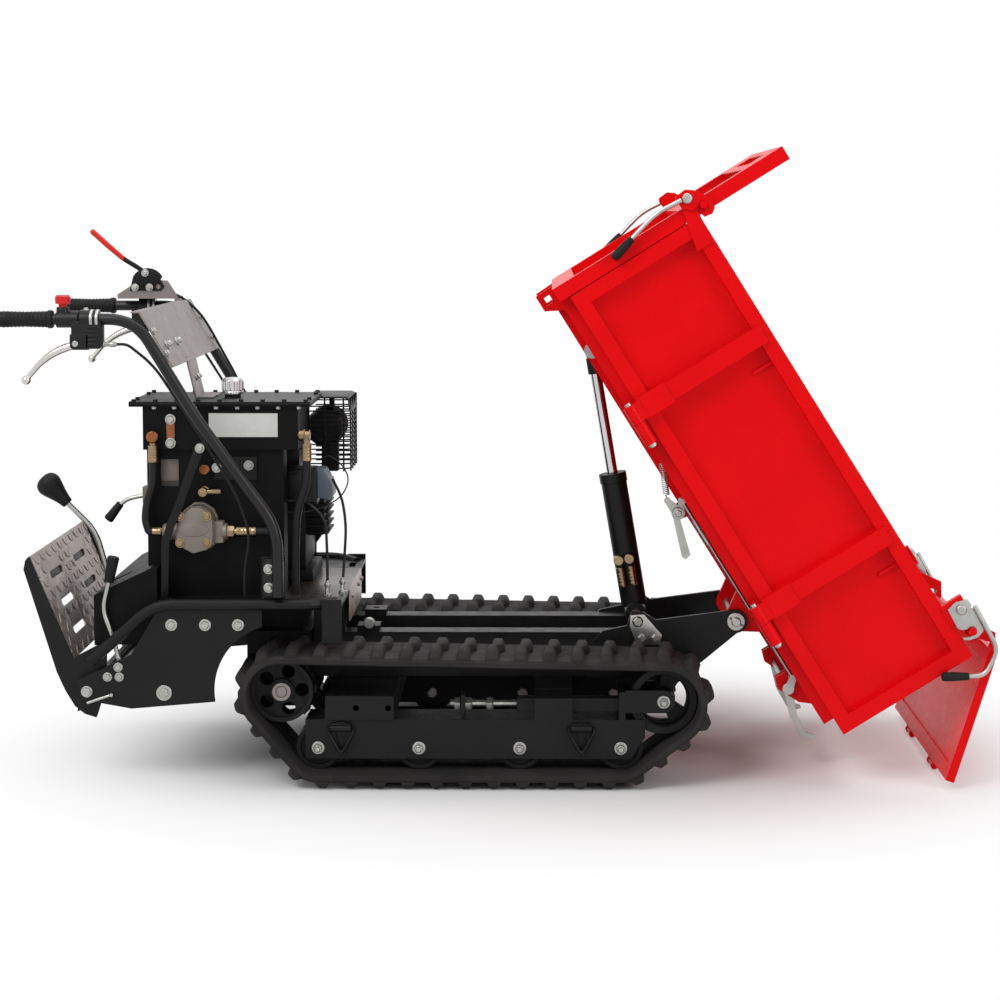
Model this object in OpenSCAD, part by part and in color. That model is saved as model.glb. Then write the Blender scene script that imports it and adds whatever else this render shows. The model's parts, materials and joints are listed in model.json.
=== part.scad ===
// Tracked power carrier: a walk-behind mini dumper with rubber tracks, a petrol engine,
// a hydraulic tipping box with drop sides, and a folding operator platform.
// X runs from the handlebar to the dump end, Y away from the near side, Z up; millimetres.

/* [Tracks] */
// Distance between the centre lines of the two tracks
track_gauge = 520; // [500:1:540]
// Width of one rubber track
track_w = 180; // [160:1:190]
// Thickness of the rubber belt without its lugs
belt_t = 17; // [14:0.5:19]
// Height of a ground lug
lug_h = 17; // [10:0.5:18]
// Number of ground lugs on one track
lug_count = 37; // [30:1:40]
// Radius of the road rollers
roller_r = 48; // [40:0.5:49]
// Width over a road roller or an idler
wheel_w = 78; // [60:1:80]
// Teeth on one drive sprocket
sprocket_teeth = 8; // [6:1:9]

/* [Box] */
// Tipping angle of the box
tip_angle = 58; // [50:0.5:60]
// Height of the drop sides
side_h = 322; // [250:1:340]
// Depth of the drop side frames
side_t = 30; // [20:1:34]
// Width over the two drop sides
box_w = 660; // [640:1:664]
// Height of the headboard above the drop sides
head_rise = 222; // [150:1:260]
// Angle of the open tailgate to its closed place
gate_open = 40.3; // [20:0.1:60]
// Thickness of the tailgate
gate_t = 18; // [16:1:26]

/* [Cylinder] */
// Outer diameter of the tipping cylinder
barrel_d = 58; // [50:1:62]
// Diameter of the piston rod
rod_d = 25; // [18:1:30]
// Length of the barrel from its lower pin
barrel_l = 319; // [290:1:325]

/* [Controls] */
// Diameter of the handlebar tube
bar_d = 24; // [20:0.5:26]
// Half the distance between the two handlebar tubes
bar_y = 322; // [312:1:330]
// Length of a handlebar grip
grip_l = 122; // [100:1:125]
// Width of the folding platform
platform_w = 560; // [480:1:580]

/* [Tank] */
// Length of the oil tank
tank_l = 338; // [300:1:345]
// Height of the oil tank
tank_h = 100; // [80:1:104]
// Thickness of the tank lid
lid_t = 6; // [4:0.5:8]

/* [Hidden] */
$fn = 48;

// Clearances between pieces
run_gap = 0.06;
fit_gap = 0.1;
side_gap = 0.5;
skim = 0.8;

// Wheels inside the track loop
sprocket_x = -464.5;
sprocket_z = 203;
sprocket_belt_r = 68;
idler_x = 353.6;
idler_z = 183.3;
idler_belt_r = 74;
roller_x0 = -386;
roller_step = 216;
roller_n = 4;
roller_belt_r = roller_r + skim;
roller_z = belt_t + lug_h + roller_belt_r;
function roller_x(i) = roller_x0 + i * roller_step;
groove_w = 30;
groove_depth = 7;
lug_base = 30;
lug_top = 20;
arc_step = 7;
axle_r = 10;
idler_axle_r = 12;
drive_shaft_r = 15;
track_y = track_gauge / 2;

// Roller frame inside each track
frame_x0 = -413;
frame_x1 = 314;
frame_z0 = 59;
frame_z1 = 144;
frame_plate = 8;
frame_in = track_y - wheel_w / 2 - 1.5;
frame_out = track_y + wheel_w / 2 + 1.5;
frame_roof_x1 = 280;
yoke_x0 = 272;
yoke_z0 = 152;
yoke_z1 = 201;
guide_x0 = 78;
guide_x1 = 159;
guide_z1 = 191;
bar_side = 30;
slide_y = track_y + 8;
slide_z = 170;
anchor_x = -80;
bolt_r = 8;

// Chassis
rail_in = 70;
rail_out = 120;
rail_z0 = 196;
rail_z1 = 296;
rail_x0 = -415;
rail_x1 = 300;
rail_wall = 5;
beam_x0 = -370;
beam_x1 = -223;
cheek_t = 10;
tip_x = 522.5;
tip_z = 322.4;
tip_pin_r = 10;
cheek_end_r = 26;
base_x = 305;
base_z = 322.8;
base_pin_r = 12;
base_boss_r = 24;
base_eye = 45.5;
keeper_t = 6;

// Rear frame and deck
deck_x0 = -727;
deck_x1 = -335;
deck_z = 392;
deck_t = 8;
deck_y = 294;
skirt_t = 8;
skirt_z0 = 187;
skirt_arc = 145;
guard_d = 25;
guard_y = deck_y + skirt_t + 6;
bracket_t = 10;

// Box frame of reference: u along the floor to the tail, w square to it, from the tip hinge
floor_w = 70;
bed_w = 90;
sheet_t = 4;
rim_w0 = 48;
side_u0 = -812;
side_u1 = 285;
side_y1 = box_w / 2;
side_y0 = side_y1 - side_t;
side_top = floor_w + side_h;
head_u0 = -845;
head_u1 = -814;
head_top = side_top + head_rise;
head_foot_y = 70;
floor_y = side_y0 - 3;
floor_u1 = 283;
edge = 32;
post_u = [-533, -32];
post_w = 40;
post_out = 355;
knuckle_r = 13.5;
knuckle_l = 50;
knuckle_y = side_y1 + 13;
knuckle_w = 55;
knuckle_pin_r = 7;
stringer_in = 36;
stringer_out = 62;
stringer_w0 = 30;
ear_in = 104;
ear_t = 12;
eye_u = -674.5;
eye_w = 47.4;
eye_pin_r = 9;
eye_r = 17.5;
eye_l = 50;
gate_pin_u = 237;
gate_pin_w = 419;
gate_pin_r = 8;
gate_u = side_u1 + 1.5;
gate_top = 392;
gate_foot = 96;
gate_arm_y = side_y1 - 28;
gate_arm_t = 10;
gate_pin_end = side_y1 + 16;
catch_y = 140;
finger_t = 7;
finger_gap = 40;
catch_pin_r = 6;
catch_u = 295.5;
catch_w = 86.5;
finger_r = 8;

// Latches on the drop sides
latch_y0 = side_y1 + 4;
latch_t = 5;
tail_latch_u = 185;
tail_latch_w = 422;
head_latch_u = -858;
head_latch_w = 388;
head_pin_u = -829;
head_pin_w = 410;
latch_bolt_r = 6;
slot_gap = 0.6;
handle_rod_r = 5;
handle_grip_r = 10;
handle_grip_l = 58;

// Tailgate release under the floor
release_y = 160;
release_t = 5;
lever_u = -278;
lever_w = 20;
hook_u = 182;
arm_u = -18;
arm_w = 21;
release_pin_r = 4;
pivot_r = 7;
link_r = 4;
spring_u = -405;
spring_r = 6.5;
spring_wire = 1.1;
spring_turns = 18;
spring_eye_u = -36;
spring_eye_w = -6;
spring_eye_r = 7;
spring_hook = release_t / 2 + spring_wire + side_gap;

// Cylinder: direction from its lower pin to its upper pin
eye_x = tip_x + eye_u * cos(tip_angle) + eye_w * sin(tip_angle);
eye_z = tip_z - eye_u * sin(tip_angle) + eye_w * cos(tip_angle);
cyl_run = norm([eye_x - base_x, eye_z - base_z]);
cyl_tilt = atan2(eye_x - base_x, eye_z - base_z);

// Helpers
module side(s) {
  if (s < 0) mirror([0, 1, 0]) children();
  else children();
}

module both() {
  children();
  mirror([0, 1, 0]) children();
}

// A flat shape drawn in X and Z, as thick as the space from y0 to y1
module slab(y0, y1) {
  translate([0, y1, 0]) rotate([90, 0, 0]) linear_extrude(y1 - y0) children();
}

module block(x0, x1, y0, y1, z0, z1) {
  translate([x0, y0, z0]) cube([x1 - x0, y1 - y0, z1 - z0]);
}

module rod_y(x, z, r, y0, y1) {
  translate([x, y1, z]) rotate([90, 0, 0]) cylinder(r = r, h = y1 - y0);
}

module hex_y(x, z, r, y0, y1) {
  translate([x, y1, z]) rotate([90, 0, 0]) cylinder(r = r, h = y1 - y0, $fn = 6);
}

module rod_z(x, y, r, z0, z1) {
  translate([x, y, z0]) cylinder(r = r, h = z1 - z0);
}

module rod_x(y, z, r, x0, x1) {
  translate([x0, y, z]) rotate([0, 90, 0]) cylinder(r = r, h = x1 - x0);
}

module in_box() {
  translate([tip_x, 0, tip_z]) rotate([0, tip_angle, 0]) children();
}

module at_gate() {
  in_box() translate([gate_pin_u, 0, gate_pin_w]) rotate([0, -gate_open, 0])
    translate([-gate_pin_u, 0, -gate_pin_w]) children();
}

// Paths for bent tubes: corners rounded by quadratic curves
function unit(v) = v / norm(v);
function bend(a, b, c, r) =
  let (
    d = min(r, 0.49 * norm(b - a), 0.49 * norm(c - b)),
    p = b + unit(a - b) * d,
    q = b + unit(c - b) * d
  )
  [for (t = [0:0.25:1]) (1 - t) * (1 - t) * p + 2 * t * (1 - t) * b + t * t * q];
function rounded(path, r) =
  let (n = len(path))
  concat(
    [path[0]],
    [for (i = [1:1:n - 2]) each bend(path[i - 1], path[i], path[i + 1], r)],
    [path[n - 1]]
  );
function heading(p, i) = unit(p[min(i + 1, len(p) - 1)] - p[max(i - 1, 0)]);
function square_to(v, t) = unit(v - t * (v * t));
function transport(p, i, last) =
  i == len(p) ? [] : let (n = square_to(last, heading(p, i))) concat([n], transport(p, i + 1, n));
function first_side(t) = abs(t.y) < 0.9 ? square_to([0, 1, 0], t) : square_to([0, 0, 1], t);

// One tube of n sides along a path
module tube(path, r, n = 10) {
  count = len(path);
  normals = transport(path, 0, first_side(heading(path, 0)));
  points = [
    for (i = [0:count - 1])
      let (t = heading(path, i), u = normals[i], v = cross(t, u))
      for (k = [0:n - 1]) path[i] + r * (cos(k * 360 / n) * u + sin(k * 360 / n) * v)
  ];
  walls = [
    for (i = [0:count - 2], k = [0:n - 1])
      let (a = i * n + k, b = i * n + (k + 1) % n)
      each [[a, a + n, b], [b, a + n, b + n]]
  ];
  first = [for (k = [1:n - 2]) [0, k, k + 1]];
  last = [for (k = [1:n - 2]) let (o = (count - 1) * n) [o, o + k + 1, o + k]];
  polyhedron(points = points, faces = concat(walls, first, last));
}

// Track loop: tangents and arcs round the end rollers, the idler and the sprocket
loop_wheels = [
  [roller_x(roller_n - 1), roller_z, roller_belt_r],
  [idler_x, idler_z, idler_belt_r],
  [sprocket_x, sprocket_z, sprocket_belt_r],
  [roller_x0, roller_z, roller_belt_r]
];
function tangent_angle(i) =
  let (
    a = loop_wheels[i % 4],
    b = loop_wheels[(i + 1) % 4],
    d = [b.x - a.x, b.y - a.y]
  )
  atan2(d.y, d.x) - acos((a.z - b.z) / norm(d));
function wrap(a, low) = a < low ? wrap(a + 360, low) : a;
function loop_arc(i, off) =
  let (
    w = loop_wheels[i],
    a = tangent_angle(i + 3),
    b = wrap(tangent_angle(i), a),
    n = ceil((b - a) / arc_step)
  )
  [for (k = [0:n]) [w.x, w.y] + (w.z + off) * [cos(a + (b - a) * k / n), sin(a + (b - a) * k / n)]];
function loop(off) = [for (i = [0:3]) each loop_arc(i, off)];
tread = loop(belt_t);
tread_n = len(tread);
function run_to(i) = i == 0 ? [0] :
  let (r = run_to(i - 1)) concat(r, [r[i - 1] + norm(tread[i % tread_n] - tread[i - 1])]);
tread_run = run_to(tread_n);
tread_l = tread_run[tread_n];
lug_pitch = tread_l / lug_count;
function leg(s) = max([for (i = [0:tread_n - 1]) if (tread_run[i] <= s) i]);
function wrapped(s) = s < 0 ? s + tread_l : s >= tread_l ? s - tread_l : s;
function on_tread(s0) =
  let (s = wrapped(s0), i = leg(s), a = tread[i], b = tread[(i + 1) % tread_n])
  a + (b - a) * (s - tread_run[i]) / (tread_run[i + 1] - tread_run[i]);
function out_of(s) =
  let (t = unit(on_tread(s + lug_top / 2) - on_tread(s - lug_top / 2))) [t.y, -t.x];
function lug_outline(s) = [
  on_tread(s - lug_base / 2),
  on_tread(s - lug_top / 2) + lug_h * out_of(s),
  on_tread(s + lug_top / 2) + lug_h * out_of(s),
  on_tread(s + lug_base / 2),
  on_tread(s + lug_base / 2 + (lug_pitch - lug_base) / 3),
  on_tread(s + lug_base / 2 + (lug_pitch - lug_base) * 2 / 3)
];

module ring_shape(outer, inner) {
  polygon(
    concat(outer, inner),
    [[for (i = [0:len(outer) - 1]) i], [for (i = [0:len(inner) - 1]) len(outer) + i]]
  );
}

module track(s) {
  outer = [for (k = [0:lug_count - 1]) each lug_outline((k + 0.5) * lug_pitch)];
  color("#1c1c1e") side(s) difference() {
    slab(track_y - track_w / 2, track_y + track_w / 2) ring_shape(outer, loop(0));
    slab(track_y - groove_w / 2, track_y + groove_w / 2) ring_shape(loop(groove_depth), loop(-1));
  }
}

// Wheels
module sprocket(s) {
  tip = sprocket_belt_r + groove_depth - skim - 1;
  rim = sprocket_belt_r - skim;
  root = sprocket_belt_r - 9;
  half = groove_w / 2 - 2;
  step = 360 / sprocket_teeth;
  color("#222426") side(s) translate([sprocket_x, track_y, sprocket_z]) rotate([90, 0, 0]) {
    difference() {
      union() {
        linear_extrude(2 * half, center = true)
          polygon([
            for (k = [0:sprocket_teeth - 1], p = [[-0.5, root], [-0.3, root], [-0.14, tip], [0.14, tip], [0.3, root]])
              p[1] * [cos((k + p[0]) * step), sin((k + p[0]) * step)]
          ]);
        for (m = [0, 1]) mirror([0, 0, m]) translate([0, 0, half]) cylinder(r = rim, h = wheel_w / 2 - half);
      }
      for (m = [0, 1]) mirror([0, 0, m]) translate([0, 0, wheel_w / 2 - 14]) difference() {
        cylinder(r = rim - 9, h = 20);
        translate([0, 0, -1]) cylinder(r = 26, h = 22);
      }
      for (k = [0:4]) rotate(k * 72) translate([42, 0, 0]) cylinder(r = 14.5, h = wheel_w, center = true);
    }
    translate([0, 0, -wheel_w / 2 - 6]) difference() {
      cylinder(r = 20, h = 8);
      translate([0, 0, -1]) cylinder(r = 11, h = 6);
    }
    translate([0, 0, wheel_w / 2 - 1]) cylinder(r = drive_shaft_r, h = track_y - wheel_w / 2 - gearbox_y + 2.5);
  }
}

// A wheel profile with two treads, a middle groove and dished faces, turned about its axle
module wheel(r, bore, hub, dish) {
  half = wheel_w / 2;
  rotate([90, 0, 0]) rotate_extrude($fn = 72)
    polygon([
      [bore, -half], [hub, -half], [hub, -half + dish], [r - 9, -half + dish], [r - 9, -half + 1],
      [r, -half + 1], [r, -15], [r - 14, -13], [r - 14, 13], [r, 15],
      [r, half - 1], [r - 9, half - 1], [r - 9, half - dish], [hub, half - dish], [hub, half], [bore, half]
    ]);
}

module idler(s) {
  color("#202224") side(s) translate([idler_x, track_y, idler_z])
    wheel(idler_belt_r - skim, idler_axle_r + run_gap, 26, 18);
}

module roller(s, i) {
  color("#202224") side(s) translate([roller_x(i), track_y, roller_z])
    wheel(roller_r, axle_r + run_gap, 22, 8);
}

// Roller frames, idler yokes and lashing loops of both tracks
module lashing_loop(x) {
  top = frame_z1 - 18;
  slab(frame_out + frame_plate, frame_out + frame_plate + 8) difference() {
    polygon([[x - 27, top], [x + 27, top], [x + 9, top - 58], [x - 9, top - 58]]);
    polygon([[x - 13, top - 9], [x + 13, top - 9], [x + 4, top - 46], [x - 4, top - 46]]);
  }
  block(x - 9, x + 9, frame_out + frame_plate, frame_out + frame_plate + 8, top - 1, frame_z1 - 4);
}

module frame_side(y0) {
  difference() {
    slab(y0, y0 + frame_plate) polygon([
      [frame_x0, frame_z0], [frame_x1 - 30, frame_z0], [frame_x1, frame_z0 + 49],
      [frame_x1, frame_z1], [frame_x0, frame_z1]
    ]);
    for (i = [0:roller_n - 1]) rod_y(roller_x(i), roller_z, axle_r + fit_gap, y0 - 1, y0 + frame_plate + 1);
  }
}

module yoke_arm(y0) {
  end_r = (yoke_z1 - yoke_z0) / 2;
  difference() {
    union() {
      block(yoke_x0, idler_x, y0, y0 + frame_plate, idler_z - end_r, idler_z + end_r);
      rod_y(idler_x, idler_z, end_r, y0, y0 + frame_plate);
    }
    rod_y(idler_x, idler_z, idler_axle_r + fit_gap, y0 - 1, y0 + frame_plate + 1);
  }
}

module track_frames() {
  color("#1b1c1e") both() {
    frame_side(frame_in - frame_plate);
    frame_side(frame_out);
    block(frame_x0, frame_roof_x1, frame_in - 0.5, frame_out + 0.5, frame_z1 - 8, frame_z1);
    yoke_arm(frame_in - frame_plate);
    yoke_arm(frame_out);
    block(yoke_x0 - 14, yoke_x0, frame_in - frame_plate, frame_out + frame_plate, frame_z1, yoke_z1 + 3);
    difference() {
      block(guide_x0, guide_x1, rail_out + 115, frame_out + frame_plate, frame_z1 - 0.5, guide_z1);
      block(
        guide_x0 - 1, guide_x1 + 1, slide_y - bar_side / 2 - fit_gap, slide_y + bar_side / 2 + fit_gap,
        slide_z - bar_side / 2 - fit_gap, slide_z + bar_side / 2 + fit_gap
      );
    }
    block(
      guide_x0 - 38, yoke_x0 - 13, slide_y - bar_side / 2, slide_y + bar_side / 2,
      slide_z - bar_side / 2, slide_z + bar_side / 2
    );
    difference() {
      block(anchor_x, anchor_x + 8, slide_y - 22, slide_y + 22, frame_z1 - 0.5, slide_z + 22);
      rod_x(slide_y, slide_z, bolt_r + fit_gap, anchor_x - 1, anchor_x + 9);
    }
    lashing_loop(-336);
    lashing_loop(178);
  }
}

// Axles, their nuts and the belt tensioners of both tracks
module axle(x, z, r, y0, y1) {
  rod_y(x, z, r, y0 - 12, y1 + 6);
  rod_y(x, z, r + 8, y1, y1 + 3);
  hex_y(x, z, r + 5, y1 + 2.5, y1 + 12);
  hex_y(x, z, r + 5, y0 - 10, y0);
}

module track_hardware() {
  y0 = frame_in - frame_plate;
  y1 = frame_out + frame_plate;
  both() {
    for (i = [0:roller_n - 1]) axle(roller_x(i), roller_z, axle_r, y0, y1);
    axle(idler_x, idler_z, idler_axle_r, y0, y1);
    rod_x(slide_y, slide_z, bolt_r, anchor_x - 24, guide_x0 - 38);
    for (x = [anchor_x - 15, anchor_x + 8, anchor_x + 54])
      translate([x, slide_y, slide_z]) rotate([0, 90, 0]) cylinder(r = 15, h = 15, $fn = 6);
  }
}

// Chassis with rails, two cross beams and the tip hinge cheeks
module cheek_shape() {
  difference() {
    union() {
      polygon([
        [192, 262], [228, 301], [base_x - base_boss_r, 312], [base_x - 14, base_z + 19.5],
        [base_x + 14, base_z + 19.5], [base_x + 40, 325], [tip_x - 8, tip_z + 24.7],
        [tip_x + 24.7, tip_z - 8], [449, 233], [400, rail_z0], [192, rail_z0]
      ]);
      translate([tip_x, tip_z]) circle(r = cheek_end_r);
    }
    translate([tip_x, tip_z]) circle(r = tip_pin_r + fit_gap);
    translate([base_x, base_z]) circle(r = base_pin_r + fit_gap);
  }
}

module main_frame() {
  color("#17181a") {
    both() {
      difference() {
        block(rail_x0, rail_x1, rail_in, rail_out, rail_z0, rail_z1);
        block(
          rail_x0 - 1, rail_x1 + 1, rail_in + rail_wall, rail_out - rail_wall,
          rail_z0 + rail_wall, rail_z1 - rail_wall
        );
      }
      slab(rail_out, rail_out + cheek_t) cheek_shape();
      difference() {
        block(-318, -268, rail_in, rail_out, rail_z1 - 0.5, rail_z1 + 14);
        rod_z(-293, (rail_in + rail_out) / 2, 8, rail_z1 - 2, rail_z1 + 20);
      }
    }
    difference() {
      block(beam_x0, beam_x1, -frame_out - frame_plate, frame_out + frame_plate, frame_z1, rail_z0 + 0.5);
      block(
        beam_x0 + 6, beam_x1 - 6, -frame_out - frame_plate - 1, frame_out + frame_plate + 1,
        frame_z1 + 6, rail_z0 - 6
      );
    }
    both() slab(frame_out + frame_plate, frame_out + frame_plate + 6) difference() {
      polygon([[beam_x0, frame_z1], [beam_x1, frame_z1], [beam_x1, rail_z0], [beam_x0, rail_z0]]);
      for (x = [-304, -235]) translate([x, frame_z1 + 26]) circle(r = 6.5);
    }
    block(guide_x0, guide_x1, -rail_out - 115, rail_out + 115, frame_z1, rail_z0 + 0.5);
    block(150, 190, -rail_in, rail_in, rail_z0, rail_z1 - 30);
    block(-330, -290, -rail_in, rail_in, rail_z0, rail_z1 - 30);
    block(430, 448, -rail_out, rail_out, 240, 280);
  }
}

// Tip hinge shaft, cylinder pin stubs, keeper plates and bolts on the chassis
module chassis_hardware() {
  keeper = rail_out + cheek_t;
  color("silver") {
    track_hardware();
    rod_y(tip_x, tip_z, tip_pin_r, -keeper - 14, keeper + 14);
    both() {
      difference() {
        rod_y(tip_x, tip_z, 20, keeper, keeper + 5);
        rod_y(tip_x, tip_z, tip_pin_r - 1, keeper - 1, keeper + 6);
      }
      rod_y(base_x, base_z, base_pin_r, base_eye + side_gap, keeper + keeper_t);
      slab(keeper, keeper + keeper_t) polygon([
        [base_x - 16, base_z + 14], [base_x + 14, base_z + 16], [base_x + 54, base_z - 30],
        [base_x + 50, base_z - 52], [base_x - 2, base_z - 52], [base_x - 18, base_z - 10]
      ]);
      for (x = [base_x + 9, base_x + 40]) hex_y(x, base_z - 37, 9, keeper + keeper_t - 0.5, keeper + keeper_t + 7);
      hex_y(base_x, base_z, 11, keeper + keeper_t - 0.5, keeper + keeper_t + 5);
      hex_y(platform_x, platform_z, 13, deck_y + skirt_t, deck_y + skirt_t + 8);
    }
    rod_y(platform_x, platform_z, platform_pin_r, -deck_y - skirt_t - 1, deck_y + skirt_t + 1);
  }
}

// Rear frame: deck, side skirts, guard tubes and platform brackets
gearbox_y = 140;
gearbox_x0 = -560;
gearbox_x1 = -420;
platform_x = -883;
platform_z = 202;
strut_x = -731;
strut_z = 207;
strut_y = 246;
strut_pin_r = 6;
strut_rod_r = 5.5;
platform_pin_r = 8;
lever_pin_r = 6;

module skirt_shape() {
  difference() {
    polygon([
      [platform_x - 20, skirt_z0 - 1], [platform_x - 20, 226], [deck_x0 - 60, 282], [deck_x0 - 14, 360],
      [deck_x0, deck_z], [-505, deck_z], [-505, 350], [-530, skirt_z0], [deck_x0 - 60, skirt_z0 - 22]
    ]);
    translate([sprocket_x, sprocket_z]) circle(r = skirt_arc, $fn = 72);
  }
}

module rear_frame() {
  guard = rounded([
    [-873, guard_y, 268], [-735, guard_y, deck_z], [-400, guard_y, deck_z], [-352, guard_y - 50, deck_z - 4]
  ], 42);
  color("#18191b") {
    difference() {
      block(deck_x0, deck_x1, -deck_y - 1, deck_y + 1, deck_z - deck_t, deck_z);
      for (y = [-160, -70, 20, 110, 200]) block(-366, -350, y - 30, y + 30, deck_z - 20, deck_z + 1);
    }
    both() {
      difference() {
        slab(deck_y, deck_y + skirt_t) skirt_shape();
        rod_y(platform_x, platform_z, platform_pin_r + fit_gap, deck_y - 1, deck_y + skirt_t + 1);
      }
      tube(guard, guard_d / 2, 12);
      block(deck_x1 - 42, deck_x1, deck_y - 1, deck_y + skirt_t, deck_z - 86, deck_z + 10);
      block(-505, -454, deck_y, deck_y + skirt_t, deck_z - 1, deck_z + 102);
      block(rail_x0, -345, rail_in, rail_out, rail_z1, deck_z - deck_t + 1);
      slab(strut_y - 14 - bracket_t, strut_y - 14) polygon([
        [strut_x - 30, 180], [strut_x + 26, 180], [strut_x + 26, deck_z - deck_t + 1], [strut_x + 4, deck_z - deck_t + 1]
      ]);
      rod_y(strut_x, strut_z, strut_pin_r, strut_y - 15, strut_y + 10);
    }
    block(deck_x0 - 8, deck_x0 + 4, -deck_y, deck_y, 300, deck_z - deck_t + 1);
    for (y = [gear_lever_y - 18, gear_lever_y + 12])
      block(gear_pivot_x - 14, deck_x0 - 7, y, y + 6, gear_pivot_z - 12, gear_pivot_z + 12);
    rod_y(gear_pivot_x, gear_pivot_z, lever_pin_r, gear_lever_y - 13, gear_lever_y + 13);
    rod_y(side_lever_x, side_lever_z, lever_pin_r, -deck_y - 1, side_lever_y + 11);
  }
}

module gearbox() {
  mid_x = (gearbox_x0 + gearbox_x1) / 2;
  color("#34373a") difference() {
    union() {
      block(gearbox_x0, gearbox_x1, -gearbox_y + 8, gearbox_y - 8, 132, 300);
      block(mid_x - 48, mid_x + 48, -90, 90, 299, deck_z - deck_t);
      both() rod_y(sprocket_x, sprocket_z, 38, gearbox_y - 20, gearbox_y + 20);
      for (y = [-100:40:100]) block(gearbox_x0 - 6, gearbox_x0 + 1, y - 4, y + 4, 150, 285);
    }
    both() rod_y(sprocket_x, sprocket_z, drive_shaft_r + run_gap, gearbox_y - 2, gearbox_y + 21);
  }
}

// Black panels: upright that carries the pump and the tank, and the sloping lever cover
panel_x0 = -769;
panel_y0 = -188;
panel_t = 8;
tank_x0 = -775;
tank_z0 = 712;
tank_y0 = -200;
tank_y1 = 26;
cover_x0 = -872;
cover_z0 = 405;
cover_z1 = 463;
gear_lever_y = -120;

module body_panels() {
  color("#17181a") {
    difference() {
      union() {
        block(panel_x0, -470, panel_y0, panel_y0 + panel_t, deck_z, tank_z0);
        block(panel_x0, panel_x0 + panel_t, panel_y0, tank_y1, deck_z, tank_z0);
        block(-478, -470, panel_y0, -130, deck_z, tank_z0);
      }
      rod_y(-667, 536, 30, panel_y0 - 1, panel_y0 + panel_t + 1);
      block(-740, -700, panel_y0 - 1, panel_y0 + panel_t + 1, 630, 690);
    }
    difference() {
      slab(-270, 270) polygon([
        [cover_x0, 296], [cover_x0, cover_z0], [-750, cover_z1], [-735, cover_z1], [-735, deck_z],
        [-739, deck_z], [-739, cover_z1 - 4], [-750, cover_z1 - 4], [cover_x0 + 4, cover_z0 - 3], [cover_x0 + 4, 296]
      ]);
      block(cover_x0 - 1, cover_x0 + 52, gear_lever_y - 18, gear_lever_y + 18, 290, 450);
    }
    both() slab(262, 270) polygon([
      [cover_x0, 296], [cover_x0, cover_z0], [-750, cover_z1], [-735, cover_z1], [-735, 300]
    ]);
  }
}

// Petrol engine with its fan housing, fuel tank, air cleaner and recoil starter
engine_x = -520;
engine_y = 60;
module engine() {
  color("#26282b") {
    block(engine_x - 95, engine_x + 95, engine_y - 90, engine_y + 110, deck_z, deck_z + 26);
    block(engine_x - 105, engine_x + 80, engine_y - 80, engine_y + 100, deck_z + 25, deck_z + 210);
    for (k = [0:6])
      block(engine_x + 30, engine_x + 128, engine_y - 70, engine_y + 60, deck_z + 110 + 16 * k, deck_z + 118 + 16 * k);
    block(engine_x + 50, engine_x + 118, engine_y - 55, engine_y + 45, deck_z + 100, deck_z + 240);
    rod_y(engine_x, deck_z + 130, 108, engine_y + 99, engine_y + 150);
    rod_y(engine_x, deck_z + 130, 60, engine_y + 149, engine_y + 176);
    rod_y(engine_x, deck_z + 130, 34, engine_y + 175, engine_y + 184);
    block(engine_x - 150, engine_x + 60, 60, 250, deck_z + 236, deck_z + 372);
    block(engine_x - 60, engine_x + 10, 70, 150, deck_z + 208, deck_z + 237);
    rod_z(engine_x - 60, 170, 28, deck_z + 371, deck_z + 392);
    block(engine_x + 40, engine_x + 150, -120, -30, deck_z + 190, deck_z + 268);
    block(engine_x + 60, engine_x + 110, -70, engine_y - 50, deck_z + 180, deck_z + 215);
    rod_y(engine_x - 20, deck_z + 110, 18, panel_y0 + panel_t + 20, engine_y - 79);
    rod_y(engine_x - 20, deck_z + 110, 62, panel_y0 + panel_t + 22, panel_y0 + panel_t + 50);
  }
}

// Silencer in its wire guard
muffler_x0 = -446;
muffler_x1 = -345;
muffler_y0 = 46;
muffler_y1 = 200;
muffler_z0 = 645;
muffler_z1 = 806;
muffler_r = 42;
wire = 4;
wire_pitch = 16;
wire_row = 31;

// A wire mesh of the given width, upright, with its outer face on Y = 0
module mesh(w) {
  h = muffler_z1 - muffler_z0;
  columns = round(w / wire_pitch);
  rows = round(h / wire_row);
  dx = (w - wire) / columns;
  dz = (h - wire) / rows;
  difference() {
    block(0, w, 0, wire, 0, h);
    for (i = [0:columns - 1], k = [0:rows - 1])
      block(wire + i * dx, (i + 1) * dx, -1, wire + 1, wire + k * dz, (k + 1) * dz);
  }
}

module muffler() {
  mid_x = (muffler_x0 + muffler_x1) / 2;
  mid_z = (muffler_z0 + muffler_z1) / 2;
  color("#2c2d30") {
    rod_y(mid_x, mid_z, muffler_r, muffler_y0 + 18, muffler_y1 - 18);
    rod_y(mid_x, mid_z, 14, muffler_y1 - 19, muffler_y1 + 16);
    block(mid_x - 20, mid_x + 20, engine_y + 5, engine_y + 35, deck_z + 240, mid_z - 20);
    block(muffler_x0, muffler_x1, muffler_y0, muffler_y1, muffler_z1 - 5, muffler_z1);
    block(mid_x - 6, mid_x + 6, 110, 130, mid_z + muffler_r - 4, muffler_z1 - 4);
    translate([muffler_x0, muffler_y0, muffler_z0]) mesh(muffler_x1 - muffler_x0);
    translate([muffler_x0, muffler_y1 - wire, muffler_z0]) mesh(muffler_x1 - muffler_x0);
    translate([muffler_x1, muffler_y0, muffler_z0]) rotate([0, 0, 90]) mesh(muffler_y1 - muffler_y0);
  }
}

// Oil tank, bolted lid and breather cap
cap_x = -593;
cap_y = -100;
cap_r = 23;

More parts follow.
